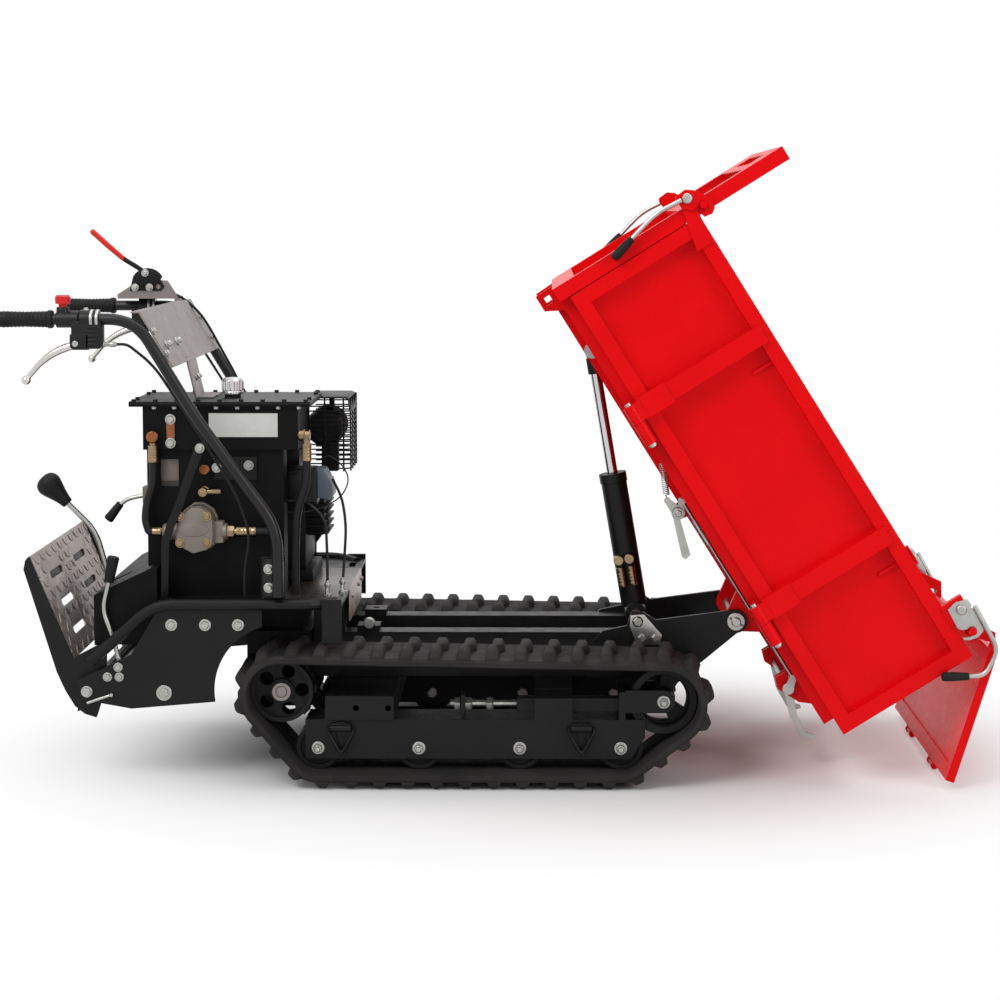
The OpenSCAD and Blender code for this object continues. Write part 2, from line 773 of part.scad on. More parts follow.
module oil_tank() {
  color("#18191b") {
    difference() {
      block(tank_x0, tank_x0 + tank_l, tank_y0, tank_y1, tank_z0, tank_z0 + tank_h);
      block(
        tank_x0 + 4, tank_x0 + tank_l - 4, tank_y0 + 4, tank_y1 - 4, tank_z0 + 4, tank_z0 + tank_h + 1
      );
    }
    difference() {
      block(
        tank_x0 - 28, tank_x0 + tank_l + 28, tank_y0 - 12, tank_y1 + 12,
        tank_z0 + tank_h - 5, tank_z0 + tank_h
      );
      block(
        tank_x0 + 2, tank_x0 + tank_l - 2, tank_y0 + 2, tank_y1 - 2,
        tank_z0 + tank_h - 6, tank_z0 + tank_h + 1
      );
    }
  }
}

module tank_lid() {
  z0 = tank_z0 + tank_h;
  x0 = tank_x0 - 28;
  x1 = tank_x0 + tank_l + 28;
  y0 = tank_y0 - 12;
  y1 = tank_y1 + 12;
  color("#1d1e20") {
    difference() {
      block(x0, x1, y0, y1, z0, z0 + lid_t);
      rod_z(cap_x, cap_y, 14, z0 - 1, z0 + lid_t + 1);
    }
    for (x = [x0 + 10:(x1 - x0 - 20) / 8:x1]) for (y = [y0 + 7, y1 - 7]) rod_z(x, y, 5, z0 + lid_t - 0.5, z0 + lid_t + 5);
    for (y = [y0 + 60, y1 - 60]) for (x = [x0 + 8, x1 - 8]) rod_z(x, y, 5, z0 + lid_t - 0.5, z0 + lid_t + 5);
    difference() {
      rod_z(cap_x, cap_y, 18, z0 + lid_t - 0.5, z0 + lid_t + 8);
      rod_z(cap_x, cap_y, 14, z0, z0 + lid_t + 9);
    }
  }
}

module filler_cap() {
  z0 = tank_z0 + tank_h + lid_t + 8 + 0.3;
  color("#c9ccd0") translate([cap_x, cap_y, z0]) {
    rotate_extrude($fn = 64)
      polygon([
        [0, -20], [13, -20], [13, -0.4], [13, 0], [cap_r + 1, 0], [cap_r + 1, 5], [cap_r, 6],
        [cap_r, 30], [cap_r - 4, 35], [0, 37]
      ]);
    for (k = [0:23]) rotate(k * 15) translate([cap_r - 0.6, 0, 8]) cylinder(r = 2, h = 20, $fn = 6);
  }
}

// Gear pump on the upright panel
pump_x = -667;
pump_z = 536;

function round_rect(w, h, r) = [
  for (q = [[1, 1, 0], [-1, 1, 90], [-1, -1, 180], [1, -1, 270]], a = [0:15:90])
    [q.x * (w / 2 - r), q.y * (h / 2 - r)] + r * [cos(q.z + a), sin(q.z + a)]
];

module gear_pump() {
  bolts = [for (x = [-29, 29], z = [-29, 29]) [x, z]];
  color("#9a9da0") difference() {
    union() {
      translate([pump_x, panel_y0, pump_z]) rotate([90, 0, 0]) {
        linear_extrude(12) polygon(round_rect(92, 108, 12));
        translate([0, 0, 11]) linear_extrude(42) polygon(round_rect(82, 104, 26));
        translate([0, 0, 52]) linear_extrude(8) polygon(round_rect(74, 90, 20));
        translate([0, 0, -22]) cylinder(r = 24, h = 23);
        for (p = bolts) translate([p.x, p.y, 59]) cylinder(r = 8, h = 7, $fn = 6);
      }
      rod_x(panel_y0 - 32, pump_z, 19, pump_x + 30, pump_x + 64);
      rod_x(panel_y0 - 32, pump_z, 18, pump_x - 62, pump_x - 30);
    }
    translate([pump_x, panel_y0 - 56, pump_z]) rotate([90, 0, 0]) cylinder(r = 15, h = 8);
  }
}

// Brass unions, hose ends and the two sight gauge bolts
module hydraulic_fittings() {
  y = panel_y0 - 32;
  color("#b08a3c") {
    rod_x(y, pump_z, 9, pump_x + 64, pump_x + 96);
    translate([pump_x + 72, y, pump_z]) rotate([0, 90, 0]) cylinder(r = 13, h = 14, $fn = 6);
    rod_x(y, pump_z, 11, pump_x + 95, pump_x + 138);
    rod_x(y, pump_z, 9, pump_x - 84, pump_x - 62);
    rod_z(-751, tank_y0 - 12, 9, 690, 742);
    rod_y(-751, 742, 12, tank_y0 - 24, tank_y0);
    rod_z(-418, tank_y0 - 4, 9, 690, 745);
    rod_x(tank_y0 - 4, 745, 12, tank_x0 + tank_l, -406);
    rod_y(-642, 668, 11, panel_y0 - 14, panel_y0);
    rod_y(-642, 622, 8, panel_y0 - 40, panel_y0);
    for (z = [727, 779]) {
      hex_y(-714, z, 12, tank_y0 - 9, tank_y0);
      rod_y(-714, z, 6, tank_y0 - 16, tank_y0 - 8);
    }
    block(-722, -706, tank_y0 - 3, tank_y0, 738, 768);
  }
}

// Spool valve behind the upright panel
valve_x = -779;
valve_pin_r = 4;
valve_y = -120;
valve_z = 602;

module control_valve() {
  color("#8f9398") {
    block(-761, -700, -165, -80, 566, 640);
    rod_y(-730, 603, 20, panel_y0 + panel_t, -164);
    for (y = [valve_y - 15, valve_y + 6]) block(-790, panel_x0, y, y + 9, 586, 622);
    block(-780, panel_x0, valve_y - 15, valve_y + 15, valve_z + 11, 622);
    rod_y(valve_x, valve_z, valve_pin_r, valve_y - 14, valve_y + 14);
  }
}

// Hydraulic hoses that the machine holds all the way
hose_r = 9;
suction_route = [
  [-751, -212, 690], [-751, -212, 640], [-765, -215, 600], [-768, -220, 560], [-760, -220, 536], [-751, -220, 536]
];
pressure_route = [
  [-529, -220, 536], [-498, -220, 536], [-490, -215, 520], [-490, -200, 470], [-512, -205, 430], [-512, -205, 392]
];
return_route = [
  [-418, -204, 690], [-418, -204, 640], [-440, -200, 580], [-445, -195, 500], [-445, -195, 440], [-445, -195, 392]
];

module hoses() {
  color("#141416") {
    tube(rounded(suction_route, 30), hose_r, 10);
    tube(rounded(pressure_route, 30), hose_r, 10);
    tube(rounded(return_route, 30), hose_r, 10);
  }
}

// Control cables that the machine holds all the way
cable_r = 3;
cable_routes = [
  [[-805.8, -322, 950], [-782, -322, 950], [-730, -306, 905], [-650, -298, 780], [-560, -292, 630],
    [-530, -285, 540], [-545, -282, 460], [-545, -282, 392]],
  [[-805.8, 322, 950], [-782, 322, 950], [-730, 306, 905], [-650, 298, 780], [-580, 292, 650], [-545, 282, 540],
    [-545, 282, 392]],
  [[-370, -130, 640], [-348, -140, 600], [-338, -150, 540], [-342, -160, 460], [-345, -170, 410], [-345, -170, 392]],
  [[-469.8, -160, 594], [-450, -160, 594], [-415, -188, 594], [-378, -200, 560], [-374, -208, 480], [-374, -208, 392]]
];

module control_cables() {
  color("#101012") for (r = cable_routes) tube(rounded(r, 40), cable_r, 8);
}

// Handlebar: two bent tubes, cross tubes and foot plates
grip_x0 = -1059.5;
bar_z = 1003;
bend_x = -765;
knee_x = -640;
knee_z = 795;
bar_foot_x = -468;
cross_tube_x = -712;
bar_route = [
  [grip_x0 + 3, bar_y, bar_z], [bend_x, bar_y, bar_z], [knee_x, bar_y, knee_z],
  [-482, bar_y, 578], [bar_foot_x, bar_y, 530], [bar_foot_x, bar_y, 412]
];
bar_fall = unit([knee_x - bend_x, knee_z - bar_z]);
function beside_bar(along, off) = [bend_x, bar_z] + along * bar_fall + off * [-bar_fall.y, bar_fall.x];

module handlebar() {
  cross = beside_bar((cross_tube_x - bend_x) / bar_fall.x, 0);
  color("#1a1b1d") {
    both() {
      tube(rounded(bar_route, 34), bar_d / 2, 16);
      block(-500, -456, deck_y + skirt_t, bar_y, 410, 492);
      for (z = [432, 464]) rod_y(-490, z, 7, bar_y - 1, bar_y + 6);
    }
    rod_y(cross.x, cross.y, 10, -bar_y, bar_y);
  }
}

module grips() {
  color("#141415") both() difference() {
    union() {
      rod_x(bar_y, bar_z, 16, grip_x0, grip_x0 + grip_l);
      rod_x(bar_y, bar_z, 19, grip_x0 + grip_l - 8, grip_x0 + grip_l);
      for (x = [grip_x0 + 14:12:grip_x0 + grip_l - 14]) rod_x(bar_y, bar_z, 17.2, x, x + 6);
    }
    rod_x(bar_y, bar_z, bar_d / 2 + fit_gap, grip_x0 + 3, grip_x0 + grip_l + 1);
  }
}

// Console plate across the bars, its strap to the tank lid and the brake lever bracket
brake_y = 262;
plate_x0 = -775;
tray_x0 = -915;
brake_x = -818;
brake_z = 1052;
plate_t = 3.5;
plate_seat = bar_d / 2 + 0.2;
plate_end = 128;
perch_r = 20;

module console_plate() {
  lid = tank_z0 + tank_h + lid_t;
  seat = bar_z + plate_seat;
  tray = bar_z + perch_r + 0.2;
  corner = [bend_x + 7, seat];
  color("#b9bcc0") {
    slab(-bar_y + 3, bar_y - 3) polygon([
      [plate_x0, seat], corner, beside_bar(plate_end, plate_seat), beside_bar(plate_end, plate_seat + plate_t),
      corner + [2, plate_t], [plate_x0, seat + plate_t]
    ]);
    slab(-84, -36) polygon([
      beside_bar(plate_end - 8, plate_seat + 1), [-672, lid], [-630, lid], [-630, lid + 4], [-669, lid + 4],
      beside_bar(plate_end - 1, plate_seat + 1)
    ]);
    slab(brake_y - 30, brake_y - 24) polygon([
      [tray_x0, tray], [plate_x0, tray], [plate_x0, tray + 10], [brake_x + 22, brake_z + 14],
      [brake_x - 40, brake_z + 18], [tray_x0, tray + 10]
    ]);
    block(tray_x0, plate_x0, brake_y - 30, bar_y - 3, tray, tray + plate_t);
    block(plate_x0 - 5, plate_x0 + 1, brake_y - 30, bar_y - 3, seat, tray + plate_t);
    rod_y(brake_x, brake_z, lever_pin_r, brake_y - 25, brake_y + 4);
  }
}

// Clutch lever perches on both bars and the stop switch collar
perch_x = -866;
lever_px = -888;
lever_pz = 952;
clutch_pin_r = 5;
switch_x = -917;
switch_top = bar_z + 26;
button_r = 9;

module lever_housings() {
  color("#151516") {
    both() difference() {
      union() {
        rod_x(bar_y, bar_z, perch_r, perch_x - 14, perch_x + 24);
        block(perch_x - 12, perch_x + 22, bar_y - 14, bar_y + 14, 948, bar_z);
        block(lever_px - 12, perch_x + 14, bar_y - 16, bar_y - 8, 938, 966);
        block(lever_px - 12, perch_x + 14, bar_y + 8, bar_y + 16, 938, 966);
        block(perch_x - 2, perch_x + 14, bar_y - 16, bar_y + 16, 938, 966);
        rod_x(bar_y, 950, 6, perch_x + 13, perch_x + 60);
        rod_y(lever_px, lever_pz, clutch_pin_r, bar_y - 15, bar_y + 15);
      }
      rod_x(bar_y, bar_z, bar_d / 2 + fit_gap, perch_x - 20, perch_x + 30);
    }
    difference() {
      union() {
        rod_x(-bar_y, bar_z, 18, switch_x - 13, switch_x + 34);
        rod_z(switch_x, -bar_y, 13.5, bar_z, switch_top);
      }
      rod_x(-bar_y, bar_z, bar_d / 2 + fit_gap, switch_x - 16, switch_x + 36);
      rod_z(switch_x, -bar_y, button_r + run_gap, switch_top - 10, switch_top + 1);
    }
  }
}

module clutch_lever(s) {
  color("#c6c9cc") side(s) {
    difference() {
      union() {
        rod_y(lever_px, lever_pz, 10, bar_y - 7.5, bar_y + 7.5);
        tube(rounded([
          [lever_px - 4, bar_y, lever_pz - 2], [-928, bar_y, 938], [-964, bar_y, 914], [-996, bar_y, 876]
        ], 24), 6.5, 10);
      }
      rod_y(lever_px, lever_pz, clutch_pin_r + run_gap, bar_y - 20, bar_y + 20);
    }
    translate([-997, bar_y, 874]) sphere(r = 10, $fn = 32);
  }
}

module stop_button() {
  color("#cc1a1a") {
    rod_z(switch_x, -bar_y, button_r, switch_top - 5, switch_top + 6);
    rod_z(switch_x, -bar_y, 16, switch_top + 5, switch_top + 23);
  }
}

module brake_lever() {
  color("#c31818") difference() {
    union() {
      rod_y(brake_x, brake_z, 15, brake_y - 20, brake_y - 4);
      tube(rounded([
        [brake_x - 4, brake_y - 12, brake_z + 4], [-858, brake_y - 12, 1090], [-908, brake_y - 12, 1120],
        [-975, brake_y - 12, 1181]
      ], 22), 9, 10);
    }
    rod_y(brake_x, brake_z, lever_pin_r + run_gap, brake_y - 30, brake_y + 10);
  }
}

gear_pivot_x = -846;
gear_pivot_z = 330;
module gear_lever() {
  y = gear_lever_y;
  color("#17181a") {
    tube(rounded([
      [gear_pivot_x - 4, y, gear_pivot_z + 12], [-868, y, 412], [-898, y, 522], [-968, y, 592]
    ], 30), 6, 10);
    translate([-966, y, 590]) rotate([0, -44, 0]) rotate_extrude($fn = 40)
      polygon([[0, -10], [12, -10], [15, 0], [26, 38], [28, 50], [24, 62], [14, 70], [0, 72]]);
    difference() {
      rod_y(gear_pivot_x, gear_pivot_z, 16, y - 10, y + 10);
      rod_y(gear_pivot_x, gear_pivot_z, lever_pin_r + run_gap, y - 11, y + 11);
    }
  }
}

module valve_lever() {
  color("#17181a") {
    difference() {
      rod_y(valve_x, valve_z, 9, valve_y - 5.5, valve_y + 5.5);
      rod_y(valve_x, valve_z, valve_pin_r + run_gap, valve_y - 7, valve_y + 7);
    }
    tube(rounded([
      [valve_x - 8, valve_y, valve_z], [-826, valve_y, 594], [-846, valve_y, 578], [-868, valve_y, 550]
    ], 14), 4.5, 8);
    translate([-842, valve_y, 583]) rotate([0, -142, 0]) cylinder(r1 = 8, r2 = 11, h = 46);
  }
}

side_lever_x = -796;
side_lever_z = 243;
side_lever_y = -283;
module side_lever() {
  y = side_lever_y;
  color("#17181a") {
    difference() {
      union() {
        rod_y(side_lever_x, side_lever_z, 12, y - 8, y + 8);
        tube(rounded([
          [side_lever_x - 5, y, side_lever_z + 6], [-818, y, 269], [-828, y, 316], [-851, y, 376], [-834, y, 442]
        ], 24), 5, 8);
      }
      rod_y(side_lever_x, side_lever_z, lever_pin_r + run_gap, y - 9, y + 9);
    }
    translate([-836, y, 436]) rotate([0, 11, 0]) cylinder(r1 = 10, r2 = 13, h = 56);
  }
}

// Folding operator platform with cheeks, tread plate and slots
module platform() {
  half = platform_w / 2;
  cheek_shape = [
    [-1012, 490], [-1021, 462], [-952, 238], [-914, 162], [-868, 140], [-856, 184], [-868, 214], [-905, 262], [-992, 486]
  ];
  color("#6d6f72") difference() {
    union() {
      slab(-half + 8, half - 8) polygon([[-1016, 486], [-1012, 487], [-920, 262], [-924, 260]]);
      both() slab(half - 8, half) polygon(cheek_shape);
      rod_y(platform_x, platform_z, 14, -half + 1, half - 1);
      both() slab(strut_y + 14, strut_y + 20)
        polygon([[-912, 150], [-880, 160], [-872, 200], [-894, 204], [-908, 190]]);
      both() rod_y(-900, 172, 5, strut_y + 7.4, strut_y + 18);
    }
    rod_y(platform_x, platform_z, platform_pin_r + run_gap, -half - 2, half + 2);
    for (row = [0, 1, 2], y = [-113, 113])
      translate([-945 - row * 25, y, 318 + row * 61]) rotate([0, -22, 0])
        cube([60, 110, 16], center = true);
  }
}

module strut_tube() {
  tilt = atan2(172 - strut_z, -900 - strut_x);
  color("#1b1c1e") both() translate([strut_x, strut_y, strut_z]) rotate([0, -tilt, 0]) difference() {
    union() {
      rod_y(0, 0, 13, -9, 9);
      rod_x(0, 0, 13, 8, 116);
    }
    rod_y(0, 0, strut_pin_r + run_gap, -12, 12);
    rod_x(0, 0, strut_rod_r + run_gap, 24, 118);
  }
}

module strut_rod() {
  tilt = atan2(172 - strut_z, -900 - strut_x);
  reach = norm([172 - strut_z, -900 - strut_x]);
  color("silver") both() translate([strut_x, strut_y, strut_z]) rotate([0, -tilt, 0]) difference() {
    union() {
      rod_x(0, 0, strut_rod_r, 74, reach - 8);
      rod_y(reach, 0, 10, -7, 7);
    }
    rod_y(reach, 0, 5 + run_gap, -8, 8);
  }
}

// Box floor with rim, stringers, cross members, hinge ears and release brackets
cross_u = [-780, -560, -330, -110, 30];

module box_floor() {
  color("#d0121b") in_box() {
    block(head_u1, floor_u1, -floor_y, floor_y, bed_w - sheet_t, bed_w);
    both() {
      block(head_u1, floor_u1 - 30, floor_y - 40, floor_y, rim_w0, bed_w - sheet_t + 0.5);
      difference() {
        block(head_u1, 230, stringer_in, stringer_out, stringer_w0, bed_w - sheet_t + 0.5);
        rod_y(eye_u, eye_w, eye_pin_r + fit_gap, stringer_in - 1, stringer_out + 1);
      }
      difference() {
        slab(ear_in, ear_in + ear_t) union() {
          polygon([[-70, 60], [70, 60], [24, -8], [-24, -8]]);
          circle(r = 25);
        }
        rod_y(0, 0, tip_pin_r + run_gap, ear_in - 1, ear_in + ear_t + 1);
      }
      for (u = cross_u) block(u - 20, u + 20, stringer_out - 0.5, floor_y - 39, rim_w0 + 4, bed_w - sheet_t + 0.5);
      for (u = post_u) knuckle_bracket(u);
      for (y = [catch_y - 12, catch_y + 6]) difference() {
        slab(y, y + 6) polygon([
          [hook_u - 34, rim_w0 + 18], [hook_u - 34, lever_w - 12], [hook_u - 10, lever_w - 20],
          [hook_u + 40, lever_w + 4], [hook_u + 74, rim_w0 + 18]
        ]);
        rod_y(hook_u, lever_w, pivot_r + run_gap, y - 1, y + 7);
      }
    }
    block(head_u1, side_u0 + 40, -stringer_in - 1, stringer_in + 1, rim_w0, bed_w - sheet_t + 0.5);
    block(20, 60, -stringer_in - 1, stringer_in + 1, rim_w0, bed_w - sheet_t + 0.5);
    block(190, 230, -stringer_in - 1, stringer_in + 1, rim_w0, bed_w - sheet_t + 0.5);
    mirror([0, 1, 0]) {
      slab(release_y - 18, release_y - 10) difference() {
        polygon([
          [lever_u - 30, bed_w - sheet_t + 0.5], [lever_u - 14, lever_w - 12],
          [lever_u + 14, lever_w - 12], [lever_u + 30, bed_w - sheet_t + 0.5]
        ]);
      }
      rod_y(lever_u, lever_w, pivot_r, release_y - 12, release_y + 8);
      rod_y(lever_u, lever_w, pivot_r + 4, release_y + 4, release_y + 9);
      block(spring_u - 8, spring_u + 2, release_y - 10, release_y + 6, rim_w0, bed_w - sheet_t + 0.5);
    }
  }
}

// Fixed half of a drop side hinge
module knuckle_bracket(u) {
  y0 = floor_y - 1;
  difference() {
    union() {
      block(u + 22, u + 22 + knuckle_l, y0, knuckle_y, knuckle_w - 9, knuckle_w + 5);
      rod_x(knuckle_y, knuckle_w, knuckle_r, u + 22, u + 22 + knuckle_l);
    }
    rod_x(knuckle_y, knuckle_w, knuckle_pin_r + run_gap, u, u + 40 + knuckle_l);
  }
}

// Headboard with its frame, recess, upper window and foot brackets
module headboard() {
  half = side_y1 - 2;
  color("#d0121b") in_box() {
    difference() {
      block(head_u0, head_u1, -half, half, rim_w0, head_top);
      block(head_u0 - 1, head_u1 - 6, -half + edge, half - edge, floor_w + edge, side_top - edge);
      block(head_u0 - 1, head_u1 + 1, -half + edge + 20, half - edge - 20, side_top + 34, head_top - 90);
      block(head_u0 - 1, head_u1 + 1, -160, 160, head_top - 64, head_top - 24);
    }
    both() {
      difference() {
        slab(head_foot_y, head_foot_y + 10) polygon([
          [head_u0, rim_w0 + 4], [head_u0 + 2, 4], [head_u0 + 40, 4], [head_u0 + 66, rim_w0 + 4]
        ]);
        block(head_u0 + 14, head_u0 + 32, head_foot_y - 1, head_foot_y + 11, 14, 32);
      }
      rod_y(head_pin_u, head_pin_w, gate_pin_r, half - 2, gate_pin_end);
    }
  }
}

// Pin of the rod eye with its washers and clip, and the drop side hinge pins
module box_hardware() {
  color("silver") in_box() {
    rod_y(eye_u, eye_w, eye_pin_r, -stringer_out - 16, stringer_out + 16);
    both() difference() {
      rod_y(eye_u, eye_w, 18, stringer_out, stringer_out + 4);
      rod_y(eye_u, eye_w, eye_pin_r - 1, stringer_out - 1, stringer_out + 5);
    }
    both() for (u = post_u) {
      rod_x(knuckle_y, knuckle_w, knuckle_pin_r, u - 26, u + 30 + knuckle_l);
      rod_x(knuckle_y, knuckle_w, knuckle_pin_r + 3, u + 22.5 + knuckle_l, u + 27 + knuckle_l);
    }
  }
}

// Drop side: framed panel with posts, hinge knuckles and latch brackets
module drop_side(s) {
  color("#d8141d") in_box() side(s) {
    difference() {
      block(side_u0, side_u1, side_y0, side_y1, floor_w + 2, side_top);
      block(side_u0 + edge, side_u1 - edge, side_y0 + 5, side_y1 + 1, floor_w + edge + 2, side_top - edge);
    }
    for (u = post_u) {
      block(u - 20, u + 20, side_y1 - 26, side_y1 + 8, floor_w + 2, side_top - 16);
      block(u - 24, u + 24, side_y1 - 1, post_out - 8, floor_w + 3, floor_w + 74);
      difference() {
        union() {
          block(u - 20, u + 20.5, knuckle_y - 10, knuckle_y + 8, knuckle_w, floor_w + 10);
          rod_x(knuckle_y, knuckle_w, knuckle_r, u - 20, u + 21.5);
        }
        rod_x(knuckle_y, knuckle_w, knuckle_pin_r + run_gap, u - 40, u + 40);
      }
    }
    block(tail_latch_u - 26, tail_latch_u + 24, side_y1 - 12, side_y1 + 3.5, side_top - 6, tail_latch_w + 16);
    rod_y(tail_latch_u, tail_latch_w, latch_bolt_r, side_y1 - 12, latch_y0 + latch_t + 4);
    rod_y(tail_latch_u, tail_latch_w, latch_bolt_r + 4, latch_y0 + latch_t + 0.5, latch_y0 + latch_t + 6);
    slab(side_y1 - 1, side_y1 + 3.5) polygon([
      [head_latch_u - 16, head_latch_w - 14], [side_u0 + 60, side_top - 44], [side_u0 + 60, side_top - 8],
      [head_latch_u + 10, head_latch_w + 10], [head_latch_u - 16, head_latch_w + 10]
    ]);
    rod_y(head_latch_u, head_latch_w, latch_bolt_r, side_y1, latch_y0 + latch_t + 4);
    rod_y(head_latch_u, head_latch_w, latch_bolt_r + 4, latch_y0 + latch_t + 0.5, latch_y0 + latch_t + 6);
  }
}

// Hook plate that turns on a bolt and holds a pin in an arc slot, with a rod handle
module hook_slot(reach, from, to, r) {
  intersection() {
    difference() {
      circle(r = reach + r);
      circle(r = reach - r);
    }
    polygon(concat([[0, 0]], [for (a = [from:(to - from) / 6:to]) 3 * reach * [cos(a), sin(a)]]));
  }
  translate(reach * [cos(from), sin(from)]) circle(r = r);
}

module tail_latch(s) {
  rod_y0 = latch_y0 + latch_t + 4;
  reach = norm([gate_pin_u - tail_latch_u, gate_pin_w - tail_latch_w]);
  at = atan2(gate_pin_w - tail_latch_w, gate_pin_u - tail_latch_u);
  color("#c3c6c9") in_box() side(s) {
    translate([tail_latch_u, 0, tail_latch_w]) difference() {
      slab(latch_y0, latch_y0 + latch_t) difference() {
        polygon([[-18, -16], [20, -22], [44, -30], [70, -20], [74, 10], [40, 34], [-8, 34], [-18, 16]]);
        hook_slot(reach, at, at - 70, gate_pin_r + slot_gap);
      }
      rod_y(0, 0, latch_bolt_r + run_gap, latch_y0 - 1, latch_y0 + latch_t + 1);
    }
    tube(rounded([
      [tail_latch_u + 7, rod_y0, tail_latch_w + 28], [tail_latch_u + 113, rod_y0, tail_latch_w + 22],
      [tail_latch_u + 145, rod_y0, tail_latch_w - 32], [tail_latch_u + 127, rod_y0, tail_latch_w - 64]
    ], 22), handle_rod_r, 8);
    translate([tail_latch_u + 129, rod_y0, tail_latch_w - 60]) rotate([0, 211, 0])
      cylinder(r1 = 8, r2 = handle_grip_r, h = handle_grip_l);
  }
}

module head_latch(s) {
  rod_y0 = latch_y0 + latch_t + 4;
  reach = norm([head_pin_u - head_latch_u, head_pin_w - head_latch_w]);
  at = atan2(head_pin_w - head_latch_w, head_pin_u - head_latch_u);
  color("#c3c6c9") in_box() side(s) {
    translate([head_latch_u, 0, head_latch_w]) difference() {
      slab(latch_y0, latch_y0 + latch_t) difference() {
        polygon([[-16, -20], [14, -20], [30, 0], [46, 14], [46, 34], [24, 42], [-4, 22], [-16, 10]]);
        hook_slot(reach, at, at - 70, gate_pin_r + slot_gap);
      }
      rod_y(0, 0, latch_bolt_r + run_gap, latch_y0 - 1, latch_y0 + latch_t + 1);
    }
    tube(rounded([
      [head_latch_u - 3, rod_y0 - 1, head_latch_w - 12], [head_latch_u - 8, rod_y0, head_latch_w - 72],
      [head_latch_u + 4, rod_y0, head_latch_w - 120], [head_latch_u + 12, rod_y0, head_latch_w - 148]
    ], 22), handle_rod_r, 8);
    translate([head_latch_u + 10, rod_y0, head_latch_w - 141]) rotate([0, 165, 0])
      cylinder(r1 = 8, r2 = handle_grip_r, h = handle_grip_l);
  }
}

// Tailgate hung from pins at its upper corners, with catch fingers at its foot
module tailgate() {
  half = side_y1;
  color("#d8141d") at_gate() {
    difference() {
      block(gate_u, gate_u + gate_t, -half, half, gate_foot, gate_top);
      block(gate_u + 8, gate_u + gate_t + 1, -half + edge, half - edge, gate_foot + edge, gate_top - edge);
      block(gate_u - 1, gate_u + 4, -half + edge, half - edge, gate_foot + edge, gate_top - edge);
    }
    both() {
      slab(gate_arm_y, gate_arm_y + gate_arm_t) union() {
        polygon([
          [gate_u + gate_t - 1, gate_top - 40], [gate_u + gate_t - 1, gate_top - 2], [gate_u + 4, gate_pin_w + 8],
          [gate_pin_u, gate_pin_w + 15], [gate_pin_u - 6, gate_pin_w - 14], [gate_u + 1, gate_pin_w - 15],
          [gate_u + 1, gate_top - 40]
        ]);
        translate([gate_pin_u, gate_pin_w]) circle(r = 15);
      }
      rod_y(gate_pin_u, gate_pin_w, gate_pin_r, gate_arm_y + gate_arm_t - 1, gate_pin_end);
      for (y = [catch_y - finger_gap / 2 - finger_t, catch_y + finger_gap / 2])
        slab(y, y + finger_t) union() {
          polygon([
            [catch_u - 7, catch_w], [catch_u + 7, catch_w], [catch_u + 7, gate_foot + 18], [catch_u - 7, gate_foot + 18]
          ]);
          translate([catch_u, catch_w]) circle(r = finger_r);
        }
      rod_y(catch_u, catch_w, catch_pin_r, catch_y - finger_gap / 2 - 1, catch_y + finger_gap / 2 + 1);
    }
  }
}

// Tailgate release: bell crank with handle, link rod, hooks on a cross shaft and return spring
module release_lever() {
  y0 = release_y - release_t / 2;
  y1 = release_y + release_t / 2;
  color("#b9bcc0") in_box() mirror([0, 1, 0]) translate([lever_u, 0, lever_w]) difference() {
    union() {
      rod_y(0, 0, 15, y0, y1);
      rod_y(arm_u, arm_w, 8.5, y0, y1);
      rod_y(spring_eye_u, spring_eye_w, spring_eye_r, y0, y1);
      slab(y0, y1) polygon([[-12, 4], [arm_u - 8, arm_w + 2], [arm_u + 8, arm_w + 3], [12, 6]]);
      slab(y0, y1) polygon([
        [-6, 12], [spring_eye_u, spring_eye_w + 6], [spring_eye_u, spring_eye_w - 6], [0, -13]
      ]);
      slab(y0, y1) polygon([[0, -14], [14, -4], [92, -26], [96, -40], [86, -44]]);
    }
    rod_y(0, 0, pivot_r + run_gap, y0 - 1, y1 + 1);
    rod_y(arm_u, arm_w, release_pin_r + run_gap, y0 - 1, y1 + 1);
    rod_y(spring_eye_u, spring_eye_w, 2.5, y0 - 1, y1 + 1);
  }
}

// Link rod with a turnbuckle, beside the bell crank and the hook arm
module release_rod() {
  y = release_y + release_t / 2 + side_gap + link_r + 1;
  u0 = lever_u + arm_u;
  u1 = hook_u + arm_u;
  w = lever_w + arm_w;
  color("#a8abaf") in_box() mirror([0, 1, 0]) {
    rod_x(y, w, link_r, u0, u1);
    rod_x(y, w, 7, u0 + 50, u0 + 110);
    for (u = [u0, u1]) {
      rod_y(u, w, 7, y - link_r - 1, y + link_r + 1);
      rod_y(u, w, release_pin_r, release_y - release_t / 2 - 4, y - link_r - 0.5);
    }
  }
}

module hook_shape() {
  union() {
    translate([hook_u, lever_w]) circle(r = 13);
    polygon([
      [hook_u - 10, lever_w - 8], [hook_u + 60, lever_w - 30], [hook_u + 110, lever_w - 32], [hook_u + 128, lever_w - 18],
      [hook_u + 131, lever_w - 5], [hook_u + 123, lever_w - 4], [hook_u + 108, lever_w - 19],
      [hook_u + 62, lever_w - 14], [hook_u + 10, lever_w + 8]
    ]);
  }
}

